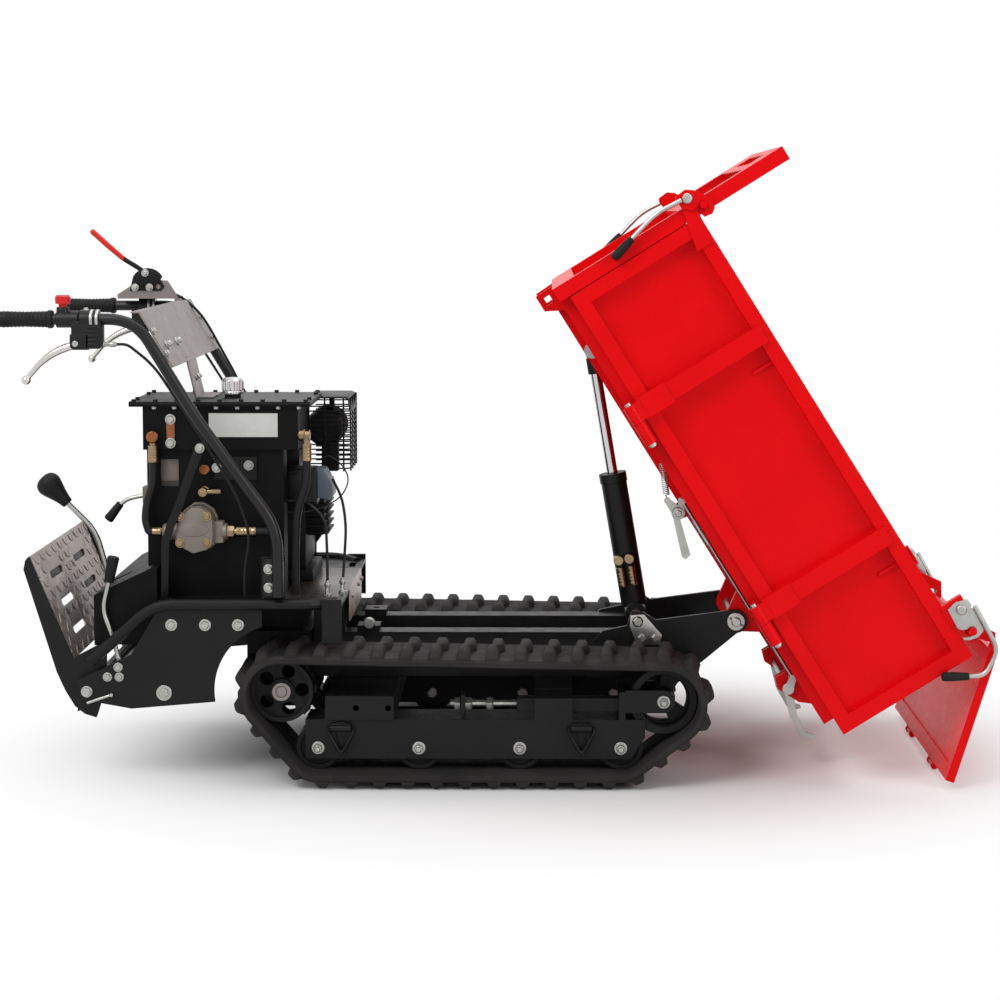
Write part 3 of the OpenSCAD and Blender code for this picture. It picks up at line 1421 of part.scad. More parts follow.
module release_hooks() {
  color("#b9bcc0") in_box() {
    both() slab(catch_y - 3, catch_y + 3) hook_shape();
    rod_y(hook_u, lever_w, pivot_r, -release_y - release_t / 2, release_y + 2);
    mirror([0, 1, 0]) difference() {
      slab(release_y - release_t / 2, release_y + release_t / 2) union() {
        translate([hook_u, lever_w]) circle(r = 13);
        translate([hook_u + arm_u, lever_w + arm_w]) circle(r = 8.5);
        polygon([
          [hook_u - 12, lever_w + 2], [hook_u + arm_u - 8, lever_w + arm_w + 4], [hook_u + arm_u + 8, lever_w + arm_w + 6],
          [hook_u + 12, lever_w + 4]
        ]);
      }
      rod_y(hook_u + arm_u, lever_w + arm_w, release_pin_r + run_gap, release_y - 10, release_y + 10);
    }
  }
}

// Return spring: one helical tube whose least distance to itself is measured
spring_w = rim_w0 + 6;
spring_from = [spring_u + 2, spring_w];
spring_to = [lever_u + spring_eye_u, lever_w + spring_eye_w];
spring_l = norm(spring_to - spring_from);
spring_lead = 10;
spring_rings = spring_turns * 8;
function spring_point(i) =
  let (a = i * 45, t = i / spring_rings)
  [spring_r * cos(a), spring_r * sin(a), spring_lead + t * (spring_l - 2 * spring_lead)];
spring_path = concat(
  [[0, 0, 0.3], [0, 0, 1.5], [spring_r * 0.6, 0, spring_lead * 0.4]],
  [for (i = [0:spring_rings]) spring_point(i)],
  [[spring_r * 0.4, spring_hook, spring_l - spring_lead * 0.8], [0, spring_hook, spring_l - 3],
    [0, spring_hook - 1, spring_l], [0, -spring_hook, spring_l]]
);
spring_self_gap = min([
  for (i = [0:8]) for (j = [i + 5:i + 16]) norm(spring_point(j) - spring_point(i))
]) - 2 * spring_wire;
echo(spring_self_gap = spring_self_gap);

module release_spring() {
  tilt = atan2(spring_to.x - spring_from.x, spring_to.y - spring_from.y);
  color("#c2c5c8") in_box() mirror([0, 1, 0]) translate([spring_from.x, release_y, spring_from.y])
    rotate([0, tilt, 0]) tube(spring_path, spring_wire, 6);
}

// Tipping cylinder between the chassis and the box
piston_r = barrel_d / 2 - 5;
gland_r = barrel_d / 2 + 2;
port_x = [-19, 5];
port_z = 125;
port_tail = 60;

module at_cylinder() {
  translate([base_x, 0, base_z]) rotate([0, cyl_tilt, 0]) children();
}

module cylinder_barrel() {
  color("#191a1c") at_cylinder() {
    difference() {
      union() {
        rod_y(0, 0, base_boss_r, -base_eye, base_eye);
        rod_z(0, 0, barrel_d / 2, 14, barrel_l - 20);
        rod_z(0, 0, gland_r, barrel_l - 21, barrel_l);
        for (x = port_x) {
          translate([x, -barrel_d / 2 + 12, port_z]) rotate([90, 0, 0]) cylinder(r = 11, h = 26);
          rod_z(x, -barrel_d / 2 - 8.5, 7, port_z - port_tail, port_z);
        }
      }
      rod_z(0, 0, piston_r + run_gap, 34, barrel_l - 24);
      rod_z(0, 0, rod_d / 2 + run_gap, barrel_l - 30, barrel_l + 1);
      rod_y(0, 0, base_pin_r - 4, -base_eye - 1, base_eye + 1);
    }
  }
}

module cylinder_rod() {
  piston = barrel_l - 60;
  color("#c9ccd0") at_cylinder() {
    rod_z(0, 0, piston_r, piston, piston + 28);
    rod_z(0, 0, rod_d / 2, piston + 27, cyl_run - eye_r + 4);
    rod_z(0, 0, rod_d / 2 + 4, cyl_run - eye_r - 24, cyl_run - eye_r + 4);
    difference() {
      rod_y(0, cyl_run, eye_r, -eye_l / 2, eye_l / 2);
      rod_y(0, cyl_run, eye_pin_r + run_gap, -eye_l, eye_l);
    }
  }
}

// Drawing
main_frame();
chassis_hardware();
track(-1);  // near_track
track(1);  // far_track
track_frames();
sprocket(-1);  // near_sprocket
sprocket(1);  // far_sprocket
idler(-1);  // near_idler
idler(1);  // far_idler
roller(-1, 0);  // near_roller_1
roller(-1, 1);  // near_roller_2
roller(-1, 2);  // near_roller_3
roller(-1, 3);  // near_roller_4
roller(1, 0);  // far_roller_1
roller(1, 1);  // far_roller_2
roller(1, 2);  // far_roller_3
roller(1, 3);  // far_roller_4
rear_frame();
gearbox();
body_panels();
engine();
muffler();
oil_tank();
tank_lid();
filler_cap();
gear_pump();
hydraulic_fittings();
control_valve();
hoses();
control_cables();
handlebar();
grips();
console_plate();
lever_housings();
clutch_lever(-1);  // near_clutch_lever
clutch_lever(1);  // far_clutch_lever
stop_button();
brake_lever();
gear_lever();
valve_lever();
side_lever();
platform();
strut_tube();
strut_rod();
box_floor();
headboard();
box_hardware();
drop_side(-1);  // near_side
drop_side(1);  // far_side
tailgate();
head_latch(-1);  // near_head_latch
head_latch(1);  // far_head_latch
tail_latch(-1);  // near_tail_latch
tail_latch(1);  // far_tail_latch
release_lever();
release_rod();
release_hooks();
release_spring();
cylinder_barrel();
cylinder_rod();
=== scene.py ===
"""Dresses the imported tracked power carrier: materials, smooth tubes, fasteners, studio and camera."""

import json
import math
from itertools import accumulate

import bmesh
import bpy
from mathutils import Matrix, Vector
from mathutils.geometry import tessellate_polygon


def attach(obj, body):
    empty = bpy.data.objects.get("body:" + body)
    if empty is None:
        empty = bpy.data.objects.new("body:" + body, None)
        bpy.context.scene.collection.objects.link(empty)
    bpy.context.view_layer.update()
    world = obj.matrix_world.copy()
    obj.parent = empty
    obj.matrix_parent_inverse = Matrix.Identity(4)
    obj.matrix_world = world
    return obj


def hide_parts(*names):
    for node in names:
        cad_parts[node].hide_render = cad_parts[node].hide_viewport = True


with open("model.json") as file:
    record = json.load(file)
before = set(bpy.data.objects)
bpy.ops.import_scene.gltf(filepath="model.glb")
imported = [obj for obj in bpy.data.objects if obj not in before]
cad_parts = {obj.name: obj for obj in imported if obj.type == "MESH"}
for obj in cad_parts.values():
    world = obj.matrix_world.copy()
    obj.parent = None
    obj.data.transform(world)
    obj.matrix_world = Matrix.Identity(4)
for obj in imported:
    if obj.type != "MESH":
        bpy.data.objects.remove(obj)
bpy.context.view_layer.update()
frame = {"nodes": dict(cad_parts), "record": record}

X, Y, Z = Vector((1, 0, 0)), Vector((0, 1, 0)), Vector((0, 0, 1))

# Sizes shared with the part, in millimetres
BOTH = (-1, 1)
SIDES = {"near": -1, "far": 1}
TIP = (522.5, 322.4)
TIP_ANGLE = math.radians(58)
CYLINDER_PIN = (305, 322.8)
PLATFORM_HINGE = (-883, 202)
BAR_Y = 322
BAR_Z = 1003
DECK_Z = 392
SKIRT_Y = 302

# Materials

# The part of a noise that is spread over a whole range of values
NOISE_RANGE = (0.3, 0.7)


class Nodes:
    """The nodes of a material or a world."""

    def __init__(self, owner):
        owner.use_nodes = True
        self.nodes = owner.node_tree.nodes
        self.links = owner.node_tree.links

    def fill(self, node, inputs):
        """Gives inputs their values, or joins them to the outputs of other nodes."""
        for key, value in inputs.items():
            if isinstance(value, bpy.types.NodeSocket):
                self.links.new(value, node.inputs[key])
            else:
                node.inputs[key].default_value = value

    def add(self, kind, output, inputs=None, **settings):
        """An output of a new node."""
        node = self.nodes.new(kind)
        for key, value in settings.items():
            setattr(node, key, value)
        self.fill(node, inputs or {})
        return node.outputs[output]

    def noise(self, scale, detail, stretch=None):
        place = self.add("ShaderNodeTexCoord", "Object")
        if stretch:
            place = self.add("ShaderNodeMapping", "Vector", {"Vector": place, "Scale": stretch})
        inputs = {"Vector": place, "Scale": scale, "Detail": detail, "Roughness": 0.5}
        return self.add("ShaderNodeTexNoise", "Fac", inputs)

    def ramp(self, source, color, tint):
        """A colour that swings between a darker and a lighter tone."""
        output = self.add("ShaderNodeValToRGB", "Color", {"Fac": source})
        tones = (1 - tint, 1 + tint)
        for stop, place, tone in zip(output.node.color_ramp.elements, NOISE_RANGE, tones):
            stop.position = place
            stop.color = (*[tone * c for c in color], 1)
        return output


def finish(name, color, rough, metal=0.0, gloss=0.5, tint=0.12, patch=9.0, grain=900.0, relief=0.08,
           depth=0.0004, edge=0.0012, stretch=None):
    """A finish whose colour, gloss and fine relief all vary, and whose edges look rounded."""
    material = bpy.data.materials.new(name)
    s = Nodes(material)
    sheen = {"Value": s.noise(patch * 5, 5), "From Min": NOISE_RANGE[0], "From Max": NOISE_RANGE[1],
             "To Min": rough * 0.85, "To Max": rough * 1.15}
    bevel = s.add("ShaderNodeBevel", "Normal", {"Radius": edge}, samples=4)
    bump = {"Strength": relief, "Distance": depth, "Height": s.noise(grain, 3, stretch), "Normal": bevel}
    s.fill(s.nodes["Principled BSDF"], {
        "Base Color": s.ramp(s.noise(patch, 4), color, tint),
        "Metallic": metal,
        "Specular IOR Level": gloss,
        "Roughness": s.add("ShaderNodeMapRange", "Result", sheen),
        "Normal": s.add("ShaderNodeBump", "Normal", bump),
    })
    return material


RED = finish("red_powder_coat", (0.72, 0.002, 0.004), 0.3, gloss=0.08, tint=0.04, grain=160, relief=0.004,
             edge=0.0022)
BLACK = finish("black_powder_coat", (0.006, 0.006, 0.0065), 0.4, gloss=0.2, tint=0.25, grain=700, relief=0.06,
               edge=0.002)
BLACK_SATIN = finish("black_satin_paint", (0.007, 0.007, 0.0075), 0.5, gloss=0.15, tint=0.3, grain=600,
                     relief=0.1)
TUBE_BLACK = finish("black_tube_paint", (0.007, 0.007, 0.0075), 0.3, gloss=0.3, tint=0.2, grain=500,
                    relief=0.04)
BLACK_MATT = finish("black_matt_paint", (0.003, 0.003, 0.003), 0.5, gloss=0.1, tint=0.3, grain=700,
                    relief=0.06)
RUBBER = finish("track_rubber", (0.019, 0.0175, 0.017), 0.75, gloss=0.2, tint=0.35, patch=6, grain=380,
                relief=0.3, depth=0.0007)
HOSE = finish("hose_rubber", (0.006, 0.006, 0.006), 0.5, gloss=0.25, tint=0.25, grain=1200, relief=0.15)
PLASTIC = finish("black_plastic", (0.006, 0.006, 0.0065), 0.38, gloss=0.25, tint=0.15, grain=1500,
                 relief=0.12)
GRIP = finish("grip_rubber", (0.007, 0.007, 0.0075), 0.6, gloss=0.2, tint=0.2, grain=1100, relief=0.25)
ZINC = finish("zinc_plate", (0.42, 0.42, 0.4), 0.34, metal=1, patch=30, relief=0.1)
STEEL = finish("grey_plate", (0.24, 0.21, 0.205), 0.4, metal=0.7, tint=0.1, patch=14, grain=1200, relief=0.06,
               stretch=(1, 0.08, 1))
CHROME = finish("chrome", (0.6, 0.6, 0.61), 0.08, metal=1, tint=0.04, relief=0.02)
ALLOY = finish("cast_alloy", (0.2, 0.17, 0.15), 0.5, metal=0.4, tint=0.14, patch=22, grain=520, relief=0.3)
BRIGHT = finish("polished_alloy", (0.62, 0.6, 0.58), 0.2, metal=1, tint=0.06, relief=0.05)
BRASS = finish("brass", (0.29, 0.215, 0.125), 0.28, metal=1, tint=0.18, patch=40)
COPPER = finish("copper", (0.28, 0.105, 0.045), 0.3, metal=1, tint=0.2, patch=40)
CAST = finish("black_casting", (0.008, 0.008, 0.0085), 0.55, gloss=0.2, tint=0.3, patch=14, grain=420,
              relief=0.3)
RED_PLASTIC = finish("red_plastic", (0.62, 0.012, 0.01), 0.3, gloss=0.3, tint=0.06, grain=1200, relief=0.06)
# Painted reflection: the tread plate is black paint, and this light grey-brown colour stands in for the white
# studio mirrored in it; the deck flange takes the same colour
TREAD_PAINTED_REFLECTION = finish("tread_plate_painted_reflection", (0.38, 0.325, 0.305), 0.4, metal=0.5, tint=0.25, patch=12, grain=700,
               relief=0.12)
CARD = finish("pale_plate", (0.55, 0.55, 0.53), 0.45, gloss=0.3, tint=0.05, patch=30, relief=0.03)
DECK = finish("deck_sheet", (0.06, 0.05, 0.043), 0.28, metal=0.4, tint=0.1, patch=8, relief=0.02)
SLATE = finish("slate_plastic", (0.1, 0.125, 0.15), 0.4, gloss=0.4, grain=1200)

SLOT_FINISH = {
    "black_paint": BLACK, "track_rubber": RUBBER, "black_cast": CAST, "zinc": ZINC, "chrome": CHROME,
    "engine_black": BLACK_SATIN, "cast_alloy": ALLOY, "bright_alloy": BRIGHT, "brass": BRASS,
    "rubber_black": HOSE, "steel_plate": STEEL, "black_plastic": PLASTIC, "red_plastic": RED_PLASTIC,
    "red_paint": RED,
}
# The platform node takes the tread colour, whose light grey is painted reflection
NODE_FINISH = {"platform": TREAD_PAINTED_REFLECTION, "handlebar": TUBE_BLACK, "grips": GRIP, "oil_tank": BLACK_MATT,
               "body_panels": BLACK_MATT}


for part in frame["record"]["subparts"]:
    node = frame["nodes"][part["node"]]
    coat = NODE_FINISH.get(part["node"], SLOT_FINISH[part["material_slot"]])
    node.data.materials.clear()
    node.data.materials.append(coat)


# Mesh building


def rounded(path, bend, steps=8):
    """A path with its corners turned into curves that start bend before them."""
    points = [Vector(p) for p in path]
    if not bend:
        return points
    curve = [points[0]]
    for a, b, c in zip(points, points[1:], points[2:]):
        reach = min(bend, 0.49 * (b - a).length, 0.49 * (c - b).length)
        p = b + (a - b).normalized() * reach
        q = b + (c - b).normalized() * reach
        for k in range(steps + 1):
            t = k / steps
            curve.append((1 - t) ** 2 * p + 2 * t * (1 - t) * b + t * t * q)
    return curve + [points[-1]]


def ring(centre, side, up, radius, sides):
    """Points of a circle round centre."""
    turn = math.tau / sides
    return [centre + radius * (math.cos(k * turn) * side + math.sin(k * turn) * up) for k in range(sides)]


class Piece:
    """A mesh under construction in the part's millimetres, or in those of a local frame."""

    def __init__(self, name, at=Matrix.Identity(4)):
        self.name = name
        self.at = at
        self.mesh = bmesh.new()

    def loft(self, rings, closed=False):
        """Joins rings of points, where one point alone closes an end; the ends are capped or joined."""
        rows = [[self.mesh.verts.new(p) for p in points] for points in rings]
        for a, b in zip(rows, rows[1:] + rows[:1] if closed else rows[1:]):
            for k in range(max(len(a), len(b))):
                corners = (a[k % len(a)], a[(k + 1) % len(a)], b[(k + 1) % len(b)], b[k % len(b)])
                self.mesh.faces.new(list(dict.fromkeys(corners)))
        for row in () if closed else (rows[0][::-1], rows[-1]):
            if len(row) > 2:
                self.mesh.faces.new(row)
        return self

    def tube(self, path, radius, sides=20, bend=0.0, dome=False):
        """A bar along a path; radius is a number or the numbers at equal shares of its length."""
        points = rounded(path, bend)
        last = len(points) - 1
        run = lengths(points)
        rings = []
        side = None
        for i, point in enumerate(points):
            ahead = (points[min(i + 1, last)] - points[max(i - 1, 0)]).normalized()
            side = ahead.orthogonal() if side is None else side
            side = (side - ahead * side.dot(ahead)).normalized()
            up = ahead.cross(side)
            r = share_of(radius, run[i] / run[-1])
            row = ring(point, side, up, r, sides)
            if dome and i in (0, last):
                out = ahead if i else -ahead
                arc = [math.radians(a) for a in (22, 45, 68)]
                cap = [ring(point + out * r * math.sin(a), side, up, r * math.cos(a), sides) for a in arc]
                cap.append([point + out * r])
                rings += [row] + cap if i else cap[::-1] + [row]
            else:
                rings.append(row)
        return self.loft(rings)

    def turned(self, at, axis, profile, sides=32):
        """A turned form: profile gives (along, radius) from the point at."""
        axis = Vector(axis).normalized()
        side = axis.orthogonal().normalized()
        up = axis.cross(side)
        rows = []
        for along, radius in profile:
            centre = Vector(at) + axis * along
            rows.append(ring(centre, side, up, radius, sides) if radius else [centre])
        return self.loft(rows)

    def bolt(self, at, axis, size, height, washer=0.0, sides=6):
        """A chamfered head, with six flats or round, on a washer."""
        thick = 0.18 * washer
        if washer:
            self.turned(at, axis, stud(washer, thick, 0.3 * thick, 0.3 * thick), 28)
        head = Vector(at) + Vector(axis).normalized() * thick
        return self.turned(head, axis, stud(size, height, 0.22 * height, 0.16 * size), sides)

    def slab(self, outline, y0, y1, bevel=0.0, holes=()):
        """A plate drawn in X and Z between two values of Y, with softened rims."""
        loops = [list(outline), *[list(h) for h in holes]]
        flat = [p for points in loops for p in points]
        rows = [[self.mesh.verts.new((x, y, z)) for x, z in flat] for y in (y0, y1)]
        made = []
        if holes:
            fill = tessellate_polygon([[Vector((x, z, 0)) for x, z in points] for points in loops])
            made += [self.mesh.faces.new([row[k] for k in three]) for row in rows for three in fill]
        else:
            made += [self.mesh.faces.new(row) for row in rows]
        start = 0
        for points in loops:
            n = len(points)
            for k in range(n):
                a, b = start + k, start + (k + 1) % n
                made.append(self.mesh.faces.new((rows[0][a], rows[0][b], rows[1][b], rows[1][a])))
            start += n
        bmesh.ops.recalc_face_normals(self.mesh, faces=made)
        if bevel:
            edges = {e for f in made for e in f.edges}
            sharp = [e for e in edges if len(e.link_faces) == 2 and e.calc_face_angle() > 0.45]
            bmesh.ops.bevel(self.mesh, geom=sharp, offset=bevel, segments=2, profile=0.6, affect="EDGES",
                            clamp_overlap=True)
        return self

    def block(self, low, high, bevel=0.0):
        """A box with softened edges."""
        outline = [(low[0], low[2]), (high[0], low[2]), (high[0], high[2]), (low[0], high[2])]
        return self.slab(outline, low[1], high[1], bevel)

    def done(self, material, slot, replaces=(), body="chassis", angle=32):
        """Makes the object, smooth except at its sharp edges; it rides on a body and may stand for nodes."""
        bmesh.ops.recalc_face_normals(self.mesh, faces=self.mesh.faces[:])
        self.mesh.transform(Matrix.Scale(0.001, 4) @ self.at)
        data = bpy.data.meshes.new(self.name)
        self.mesh.to_mesh(data)
        self.mesh.free()
        data.materials.append(material)
        data.shade_smooth()
        data.set_sharp_from_angle(angle=math.radians(angle))
        obj = bpy.data.objects.new(self.name, data)
        bpy.context.scene.collection.objects.link(obj)
        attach(obj, body)
        if replaces:
            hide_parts(*replaces)
        return obj


def lengths(points):
    """The length of a path up to each of its points."""
    return [0.0, *accumulate((b - a).length for a, b in zip(points, points[1:]))]


def share_of(values, t):
    """A number, or the value at share t of a row of numbers."""
    if not isinstance(values, (list, tuple)):
        return values
    place = t * (len(values) - 1)
    k = min(int(place), len(values) - 2)
    return values[k] + (values[k + 1] - values[k]) * (place - k)


def arc(cx, cz, r, start, end, steps=8):
    """Points of an arc, in degrees."""
    turns = [math.radians(start + (end - start) * k / steps) for k in range(steps + 1)]
    return [(cx + r * math.cos(a), cz + r * math.sin(a)) for a in turns]


def circle(x, z, r, sides=24):
    return arc(x, z, r, 0, 360, sides)[:-1]


def spot(place, y):
    """A point in X and Z, laid at one Y."""
    return place[0], y, place[1]


def at_y(path, y):
    """A path in X and Z, laid at one Y."""
    return [spot(place, y) for place in path]


def span(s, near, far, middle=0.0):
    """Two values of Y on side s of a middle, the lower one first."""
    return sorted((middle + s * near, middle + s * far))


def leaning(degrees):
    """A direction in X and Z, leaning from upright towards +X."""
    turn = math.radians(degrees)
    return Vector((math.sin(turn), 0, math.cos(turn)))


def collar(bore, radius, length, rim=1.0, drop=1.0):
    """The profile of a bored collar with chamfered rims."""
    low = radius - drop
    return [(0, bore), (0, low), (rim, radius), (length - rim, radius), (length, low), (length, bore)]


def stud(radius, length, rim=1.0, drop=1.0):
    """The profile of a stud with one chamfered end."""
    return [(0, radius), (length - rim, radius), (length, radius - drop), (length, 0)]


def threads(start, count, first, second, pitch=2):
    """The profile of a thread, between two radii."""
    return [(start + pitch * k / 2, second if k % 2 else first) for k in range(2 * count)]


# Handlebar and controls

BAR_RADIUS = 12.2
BAR_PATH = [(-1056.5, BAR_Z), (-765, BAR_Z), (-640, 795), (-482, 578), (-468, 530), (-468, 412)]
CROSS_TUBE = (-712, 914.8)
GRIP_RIBS = 11
RIB_PITCH = 8.2
CLUTCH_PIVOT = (-888, 952)
STOP_X = -917
BRAKE_PIVOT = (-818, 1052)
BRAKE_Y = 250
LEVER_Y = -120
SIDE_LEVER_Y = -283


def handlebar():
    bar = Piece("handlebar_tubes")
    bolts = Piece("handlebar_bolts")
    bands = Piece("handlebar_bands")
    foot = [(-500, 418), (-494, 411), (-462, 411), (-456, 418), (-456, 484), (-462, 491), (-494, 491),
            (-500, 484)]
    for s in BOTH:
        bar.tube(at_y(BAR_PATH, s * BAR_Y), BAR_RADIUS, 28, bend=56)
        bar.slab(foot, *span(s, 302, 316), 1.5)
        for z in (430, 470):
            bolts.bolt((-488, s * 316, z), s * Y, 7.5, 6, 11)
        for x in (-858, -846):
            bands.turned((x, s * BAR_Y, BAR_Z), X, collar(12, 21, 6, 1, 0.6))
    bar.tube([spot(CROSS_TUBE, s * BAR_Y) for s in BOTH], 10, 24)
    bar.done(TUBE_BLACK, "black_paint", ["handlebar"])
    bolts.done(ZINC, "zinc")
    bands.done(ZINC, "zinc")


def grips():
    piece = Piece("grip_pair")
    profile = [(0, 0), (0.5, 9), (3, 14), (8, 16.6), (14, 16.9)]
    middle = GRIP_RIBS // 2
    for k in range(GRIP_RIBS):
        along = 18 + k * RIB_PITCH
        waist = 15.6 + 1.1 * abs(k - middle) / middle
        rib = waist + 0.9
        profile += [(along, rib), (along + 1.4, waist), (along + 6.4, waist), (along + 7.6, rib)]
    profile += [(110, 17), (112, 19.2), (119, 19.2), (121.5, 17.5), (121.5, 0)]
    for s in BOTH:
        piece.turned((-1059.5, s * BAR_Y, BAR_Z), X, profile, 36)
    piece.done(GRIP, "rubber_black", ["grips"])


def perches():
    """Perches with louvres, screws and cable adjusters, and the socket of the stop switch."""
    body = Piece("lever_perches")
    trim = Piece("perch_screws")
    shell = [(-897, 968), (-868, 968), (-868, 941), (-838, 941), (-833, 946), (-833, 994), (-838, 1000),
             (-897, 1000)]
    cheek = [(-900, 946), (-894, 939), (-860, 939), (-860, 972), (-900, 972)]
    adjuster = [(0, 0), (0, 7.5), (10, 7.5), (11, 5.2), *threads(12, 9, 4.4, 5.2)]
    adjuster += [(31, 6.2), (40, 6.2), (42, 5.2), (46, 3.6), (46, 0)]
    for s in BOTH:
        y = s * BAR_Y
        body.turned((-880, y, BAR_Z), X, collar(12.3, 20, 38, 1.5), 36)
        body.slab(shell, y - 18, y + 18, 3)
        trim.bolt((-868, y, 1022), Z, 5, 4, 7, 16)
        for side in BOTH:
            body.slab(cheek, *span(side, 10.8, 18, y), 1.5)
            low, high = span(side, 17, 19.4, y)
            for k in range(5):
                body.block((-862, low, 948 + 9 * k), (-837, high, 952.5 + 9 * k), 0.8)
            trim.bolt(spot(CLUTCH_PIVOT, y + side * 18), side * Y, 6.5, 3.2, 0, 20)
        trim.turned((-849, y, 950), X, adjuster, 24)
    body.turned((-930, -BAR_Y, BAR_Z), X, collar(12.3, 18, 47, 1.5), 32)
    socket = [(0, 13.5), (13, 13.5), (15, 12.4), (15, 9.2), (5, 9.2)]
    body.turned((STOP_X, -BAR_Y, 1014), Z, socket, 32)
    body.done(PLASTIC, "black_plastic", ["lever_housings"])
    trim.done(ZINC, "zinc")


def clutch_levers():
    path = [(-886, 951), (-928, 938), (-964, 914), (-996, 876)]
    turns = [math.radians(d) for d in range(18, 180, 18)]
    ball = [(-10, 0), *[(-10 * math.cos(a), 10 * math.sin(a)) for a in turns], (10, 0)]
    for name, s in SIDES.items():
        y = s * BAR_Y
        node = name + "_clutch_lever"
        lever = Piece(name + "_clutch_blade")
        lever.tube(at_y(path, y), [8.5, 9, 7.6, 6, 5.2], 20, bend=30)
        lever.turned(spot(CLUTCH_PIVOT, y - 7.5), Y, collar(5.2, 10, 15), 32)
        lever.turned((-997, y, 874), (-1, 0, -1.2), ball, 24)
        lever.done(BRIGHT, "bright_alloy", [node], node)


def stop_knob():
    """A knob with two lobes and a bar across its top."""
    knob = Piece("stop_knob")
    turns = [math.tau * k / 40 for k in range(40)]
    rows = []
    stations = [(1026.5, 8.8, 0), (1035, 8.8, 0), (1036, 15, 0.05), (1050, 15.6, 0.05), (1052, 13, 0.04)]
    for z, r, lobe in stations:
        reach = [r * (1 + lobe * math.cos(2 * a)) for a in turns]
        rows.append([(STOP_X + k * math.cos(a), k * math.sin(a) - BAR_Y, z) for k, a in zip(reach, turns)])
    knob.loft(rows)
    knob.block((STOP_X - 14, -BAR_Y - 3.5, 1044), (STOP_X + 14, -BAR_Y + 3.5, 1054), 1.5)
    knob.done(RED_PLASTIC, "red_plastic", ["stop_button"], "stop_button")


def brake_lever():
    grip = Piece("brake_grip")
    grip.tube(at_y([(-903, 1117), (-940, 1149), (-975, 1181)], BRAKE_Y), [5.8, 6.6, 6.8, 6.8], 24, dome=True)
    grip.done(RED_PLASTIC, "red_plastic", ["brake_lever"], "brake_lever")
    arm = Piece("brake_arm")
    arm.tube(at_y([(-820, 1054), (-858, 1090), (-904, 1117.6), (-925, 1136)], BRAKE_Y), 5.6, 18, bend=22)
    arm.turned(spot(BRAKE_PIVOT, BRAKE_Y - 8), Y, collar(6.2, 15, 16), 32)
    arm.done(BLACK_SATIN, "black_paint", body="brake_lever")
    quadrant = Piece("brake_quadrant")
    fan = [(-885, 1042), (-812, 1042), (-803, 1052), (-812, 1068)] + arc(-842, 1056, 40, 30, 150)
    quadrant.slab(fan, 227, 231.6, 0.6, [circle(*BRAKE_PIVOT, 6.2)])
    quadrant.done(BLACK_SATIN, "black_paint")
    trim = Piece("brake_trim")
    trim.bolt(spot(BRAKE_PIVOT, BRAKE_Y + 16), Y, 9, 5, 13)
    for x, z in ((-872, 1050), (-838, 1050), (-848, 1084)):
        trim.bolt((x, 227, z), -Y, 6, 4.5, 9)
    trim.done(ZINC, "zinc")


def lever_rod(name, y, path, radius, bend, pivot, hub, sides):
    """The bent rod of a lever, with a hub that turns about its pivot."""
    rod = Piece(name + "_rod").tube(at_y(path, y), radius, sides, bend)
    rod.turned(spot(pivot, y - hub[-1][0] / 2), Y, hub, sides + 8)
    rod.done(ZINC, "zinc", [name], name)


def lever_grip(name, body, at, lean, profile, sides):
    Piece(name).turned(at, leaning(lean), profile, sides).done(GRIP, "black_plastic", body=body)


def hand_levers():
    path = [(-850, 342), (-868, 412), (-898, 522), (-968, 592)]
    lever_rod("gear_lever", LEVER_Y, path, 6, 34, (-846, 330), collar(6.2, 16, 20), 24)
    grip = [(-10, 6), (-10, 11), (-8, 12.4), (2, 14), (14, 17), (26, 21), (38, 25.2), (48, 27.6), (56, 26.6),
            (63, 23.4), (68, 18), (71, 10), (72, 0)]
    lever_grip("gear_knob", "gear_lever", (-966, LEVER_Y, 590), -44, grip, 40)
    path = [(-787, 602), (-826, 594), (-846, 578), (-862, 557.6)]
    lever_rod("valve_lever", LEVER_Y, path, 4.6, 16, (-779, 602), collar(4.1, 9, 11, 0.8, 0.6), 20)
    grip = [(0, 4.4), (0, 7.4), (1.5, 8.4), (30, 10.2), (43, 10.9), (46, 9.4), (46, 0)]
    lever_grip("valve_lever_grip", "valve_lever", (-842, LEVER_Y, 583), -142, grip, 28)
    path = [(-801, 249), (-818, 269), (-828, 316), (-851, 376), (-834, 446)]
    lever_rod("side_lever", SIDE_LEVER_Y, path, 5, 26, (-796, 243), collar(6.2, 12, 16, 0.8, 0.8), 20)
    grip = [(0, 4.8), (0, 9.4), (1.5, 10.4), (40, 12.4), (53, 12.9), (56, 11), (56, 0)]
    lever_grip("side_lever_grip", "side_lever", (-836, SIDE_LEVER_Y, 436), 11, grip, 28)


# Tracks

BELT = 17
LUG_HEIGHT = 17
LUG_ROOT = 3
LUG_COUNT = 37
TRACK_Y = 260
ROLLER_X = (-386, -170, 46, 262)
ROLLER_Z = 82.8
IDLER = (353.6, 183.3)
SPROCKET = (-464.5, 203)
TENSION = (268, 170)
# Where the belt bends: the middle and the radius of its inside
LOOP = ((ROLLER_X[3], ROLLER_Z, 48.8), (*IDLER, 74), (*SPROCKET, 68), (ROLLER_X[0], ROLLER_Z, 48.8))
# Off the inside of the belt and across it
BELT_SECTION = [(3, -90), (0, -86), (0, -15), (7, -15), (7, 15), (0, 15), (0, 86), (3, 90), (12, 90),
                (17, 85), (17, -85), (12, -90)]
# Along the belt and the share of a lug's height
LUG_PROFILE = [(-16, -1), (-13, 0.5), (-9.5, 0.9), (-6, 1), (6, 1), (9.5, 0.9), (13, 0.5), (16, -1)]
# Across the belt, the share of the height, and the lead along the belt
LUG_STATIONS = [(-88, 0.3, 5), (-78, 0.8, 5), (-66, 1, 5), (-6, 1, 5), (6, 1, -5), (66, 1, -5), (78, 0.8, -5),
                (88, 0.3, -5)]


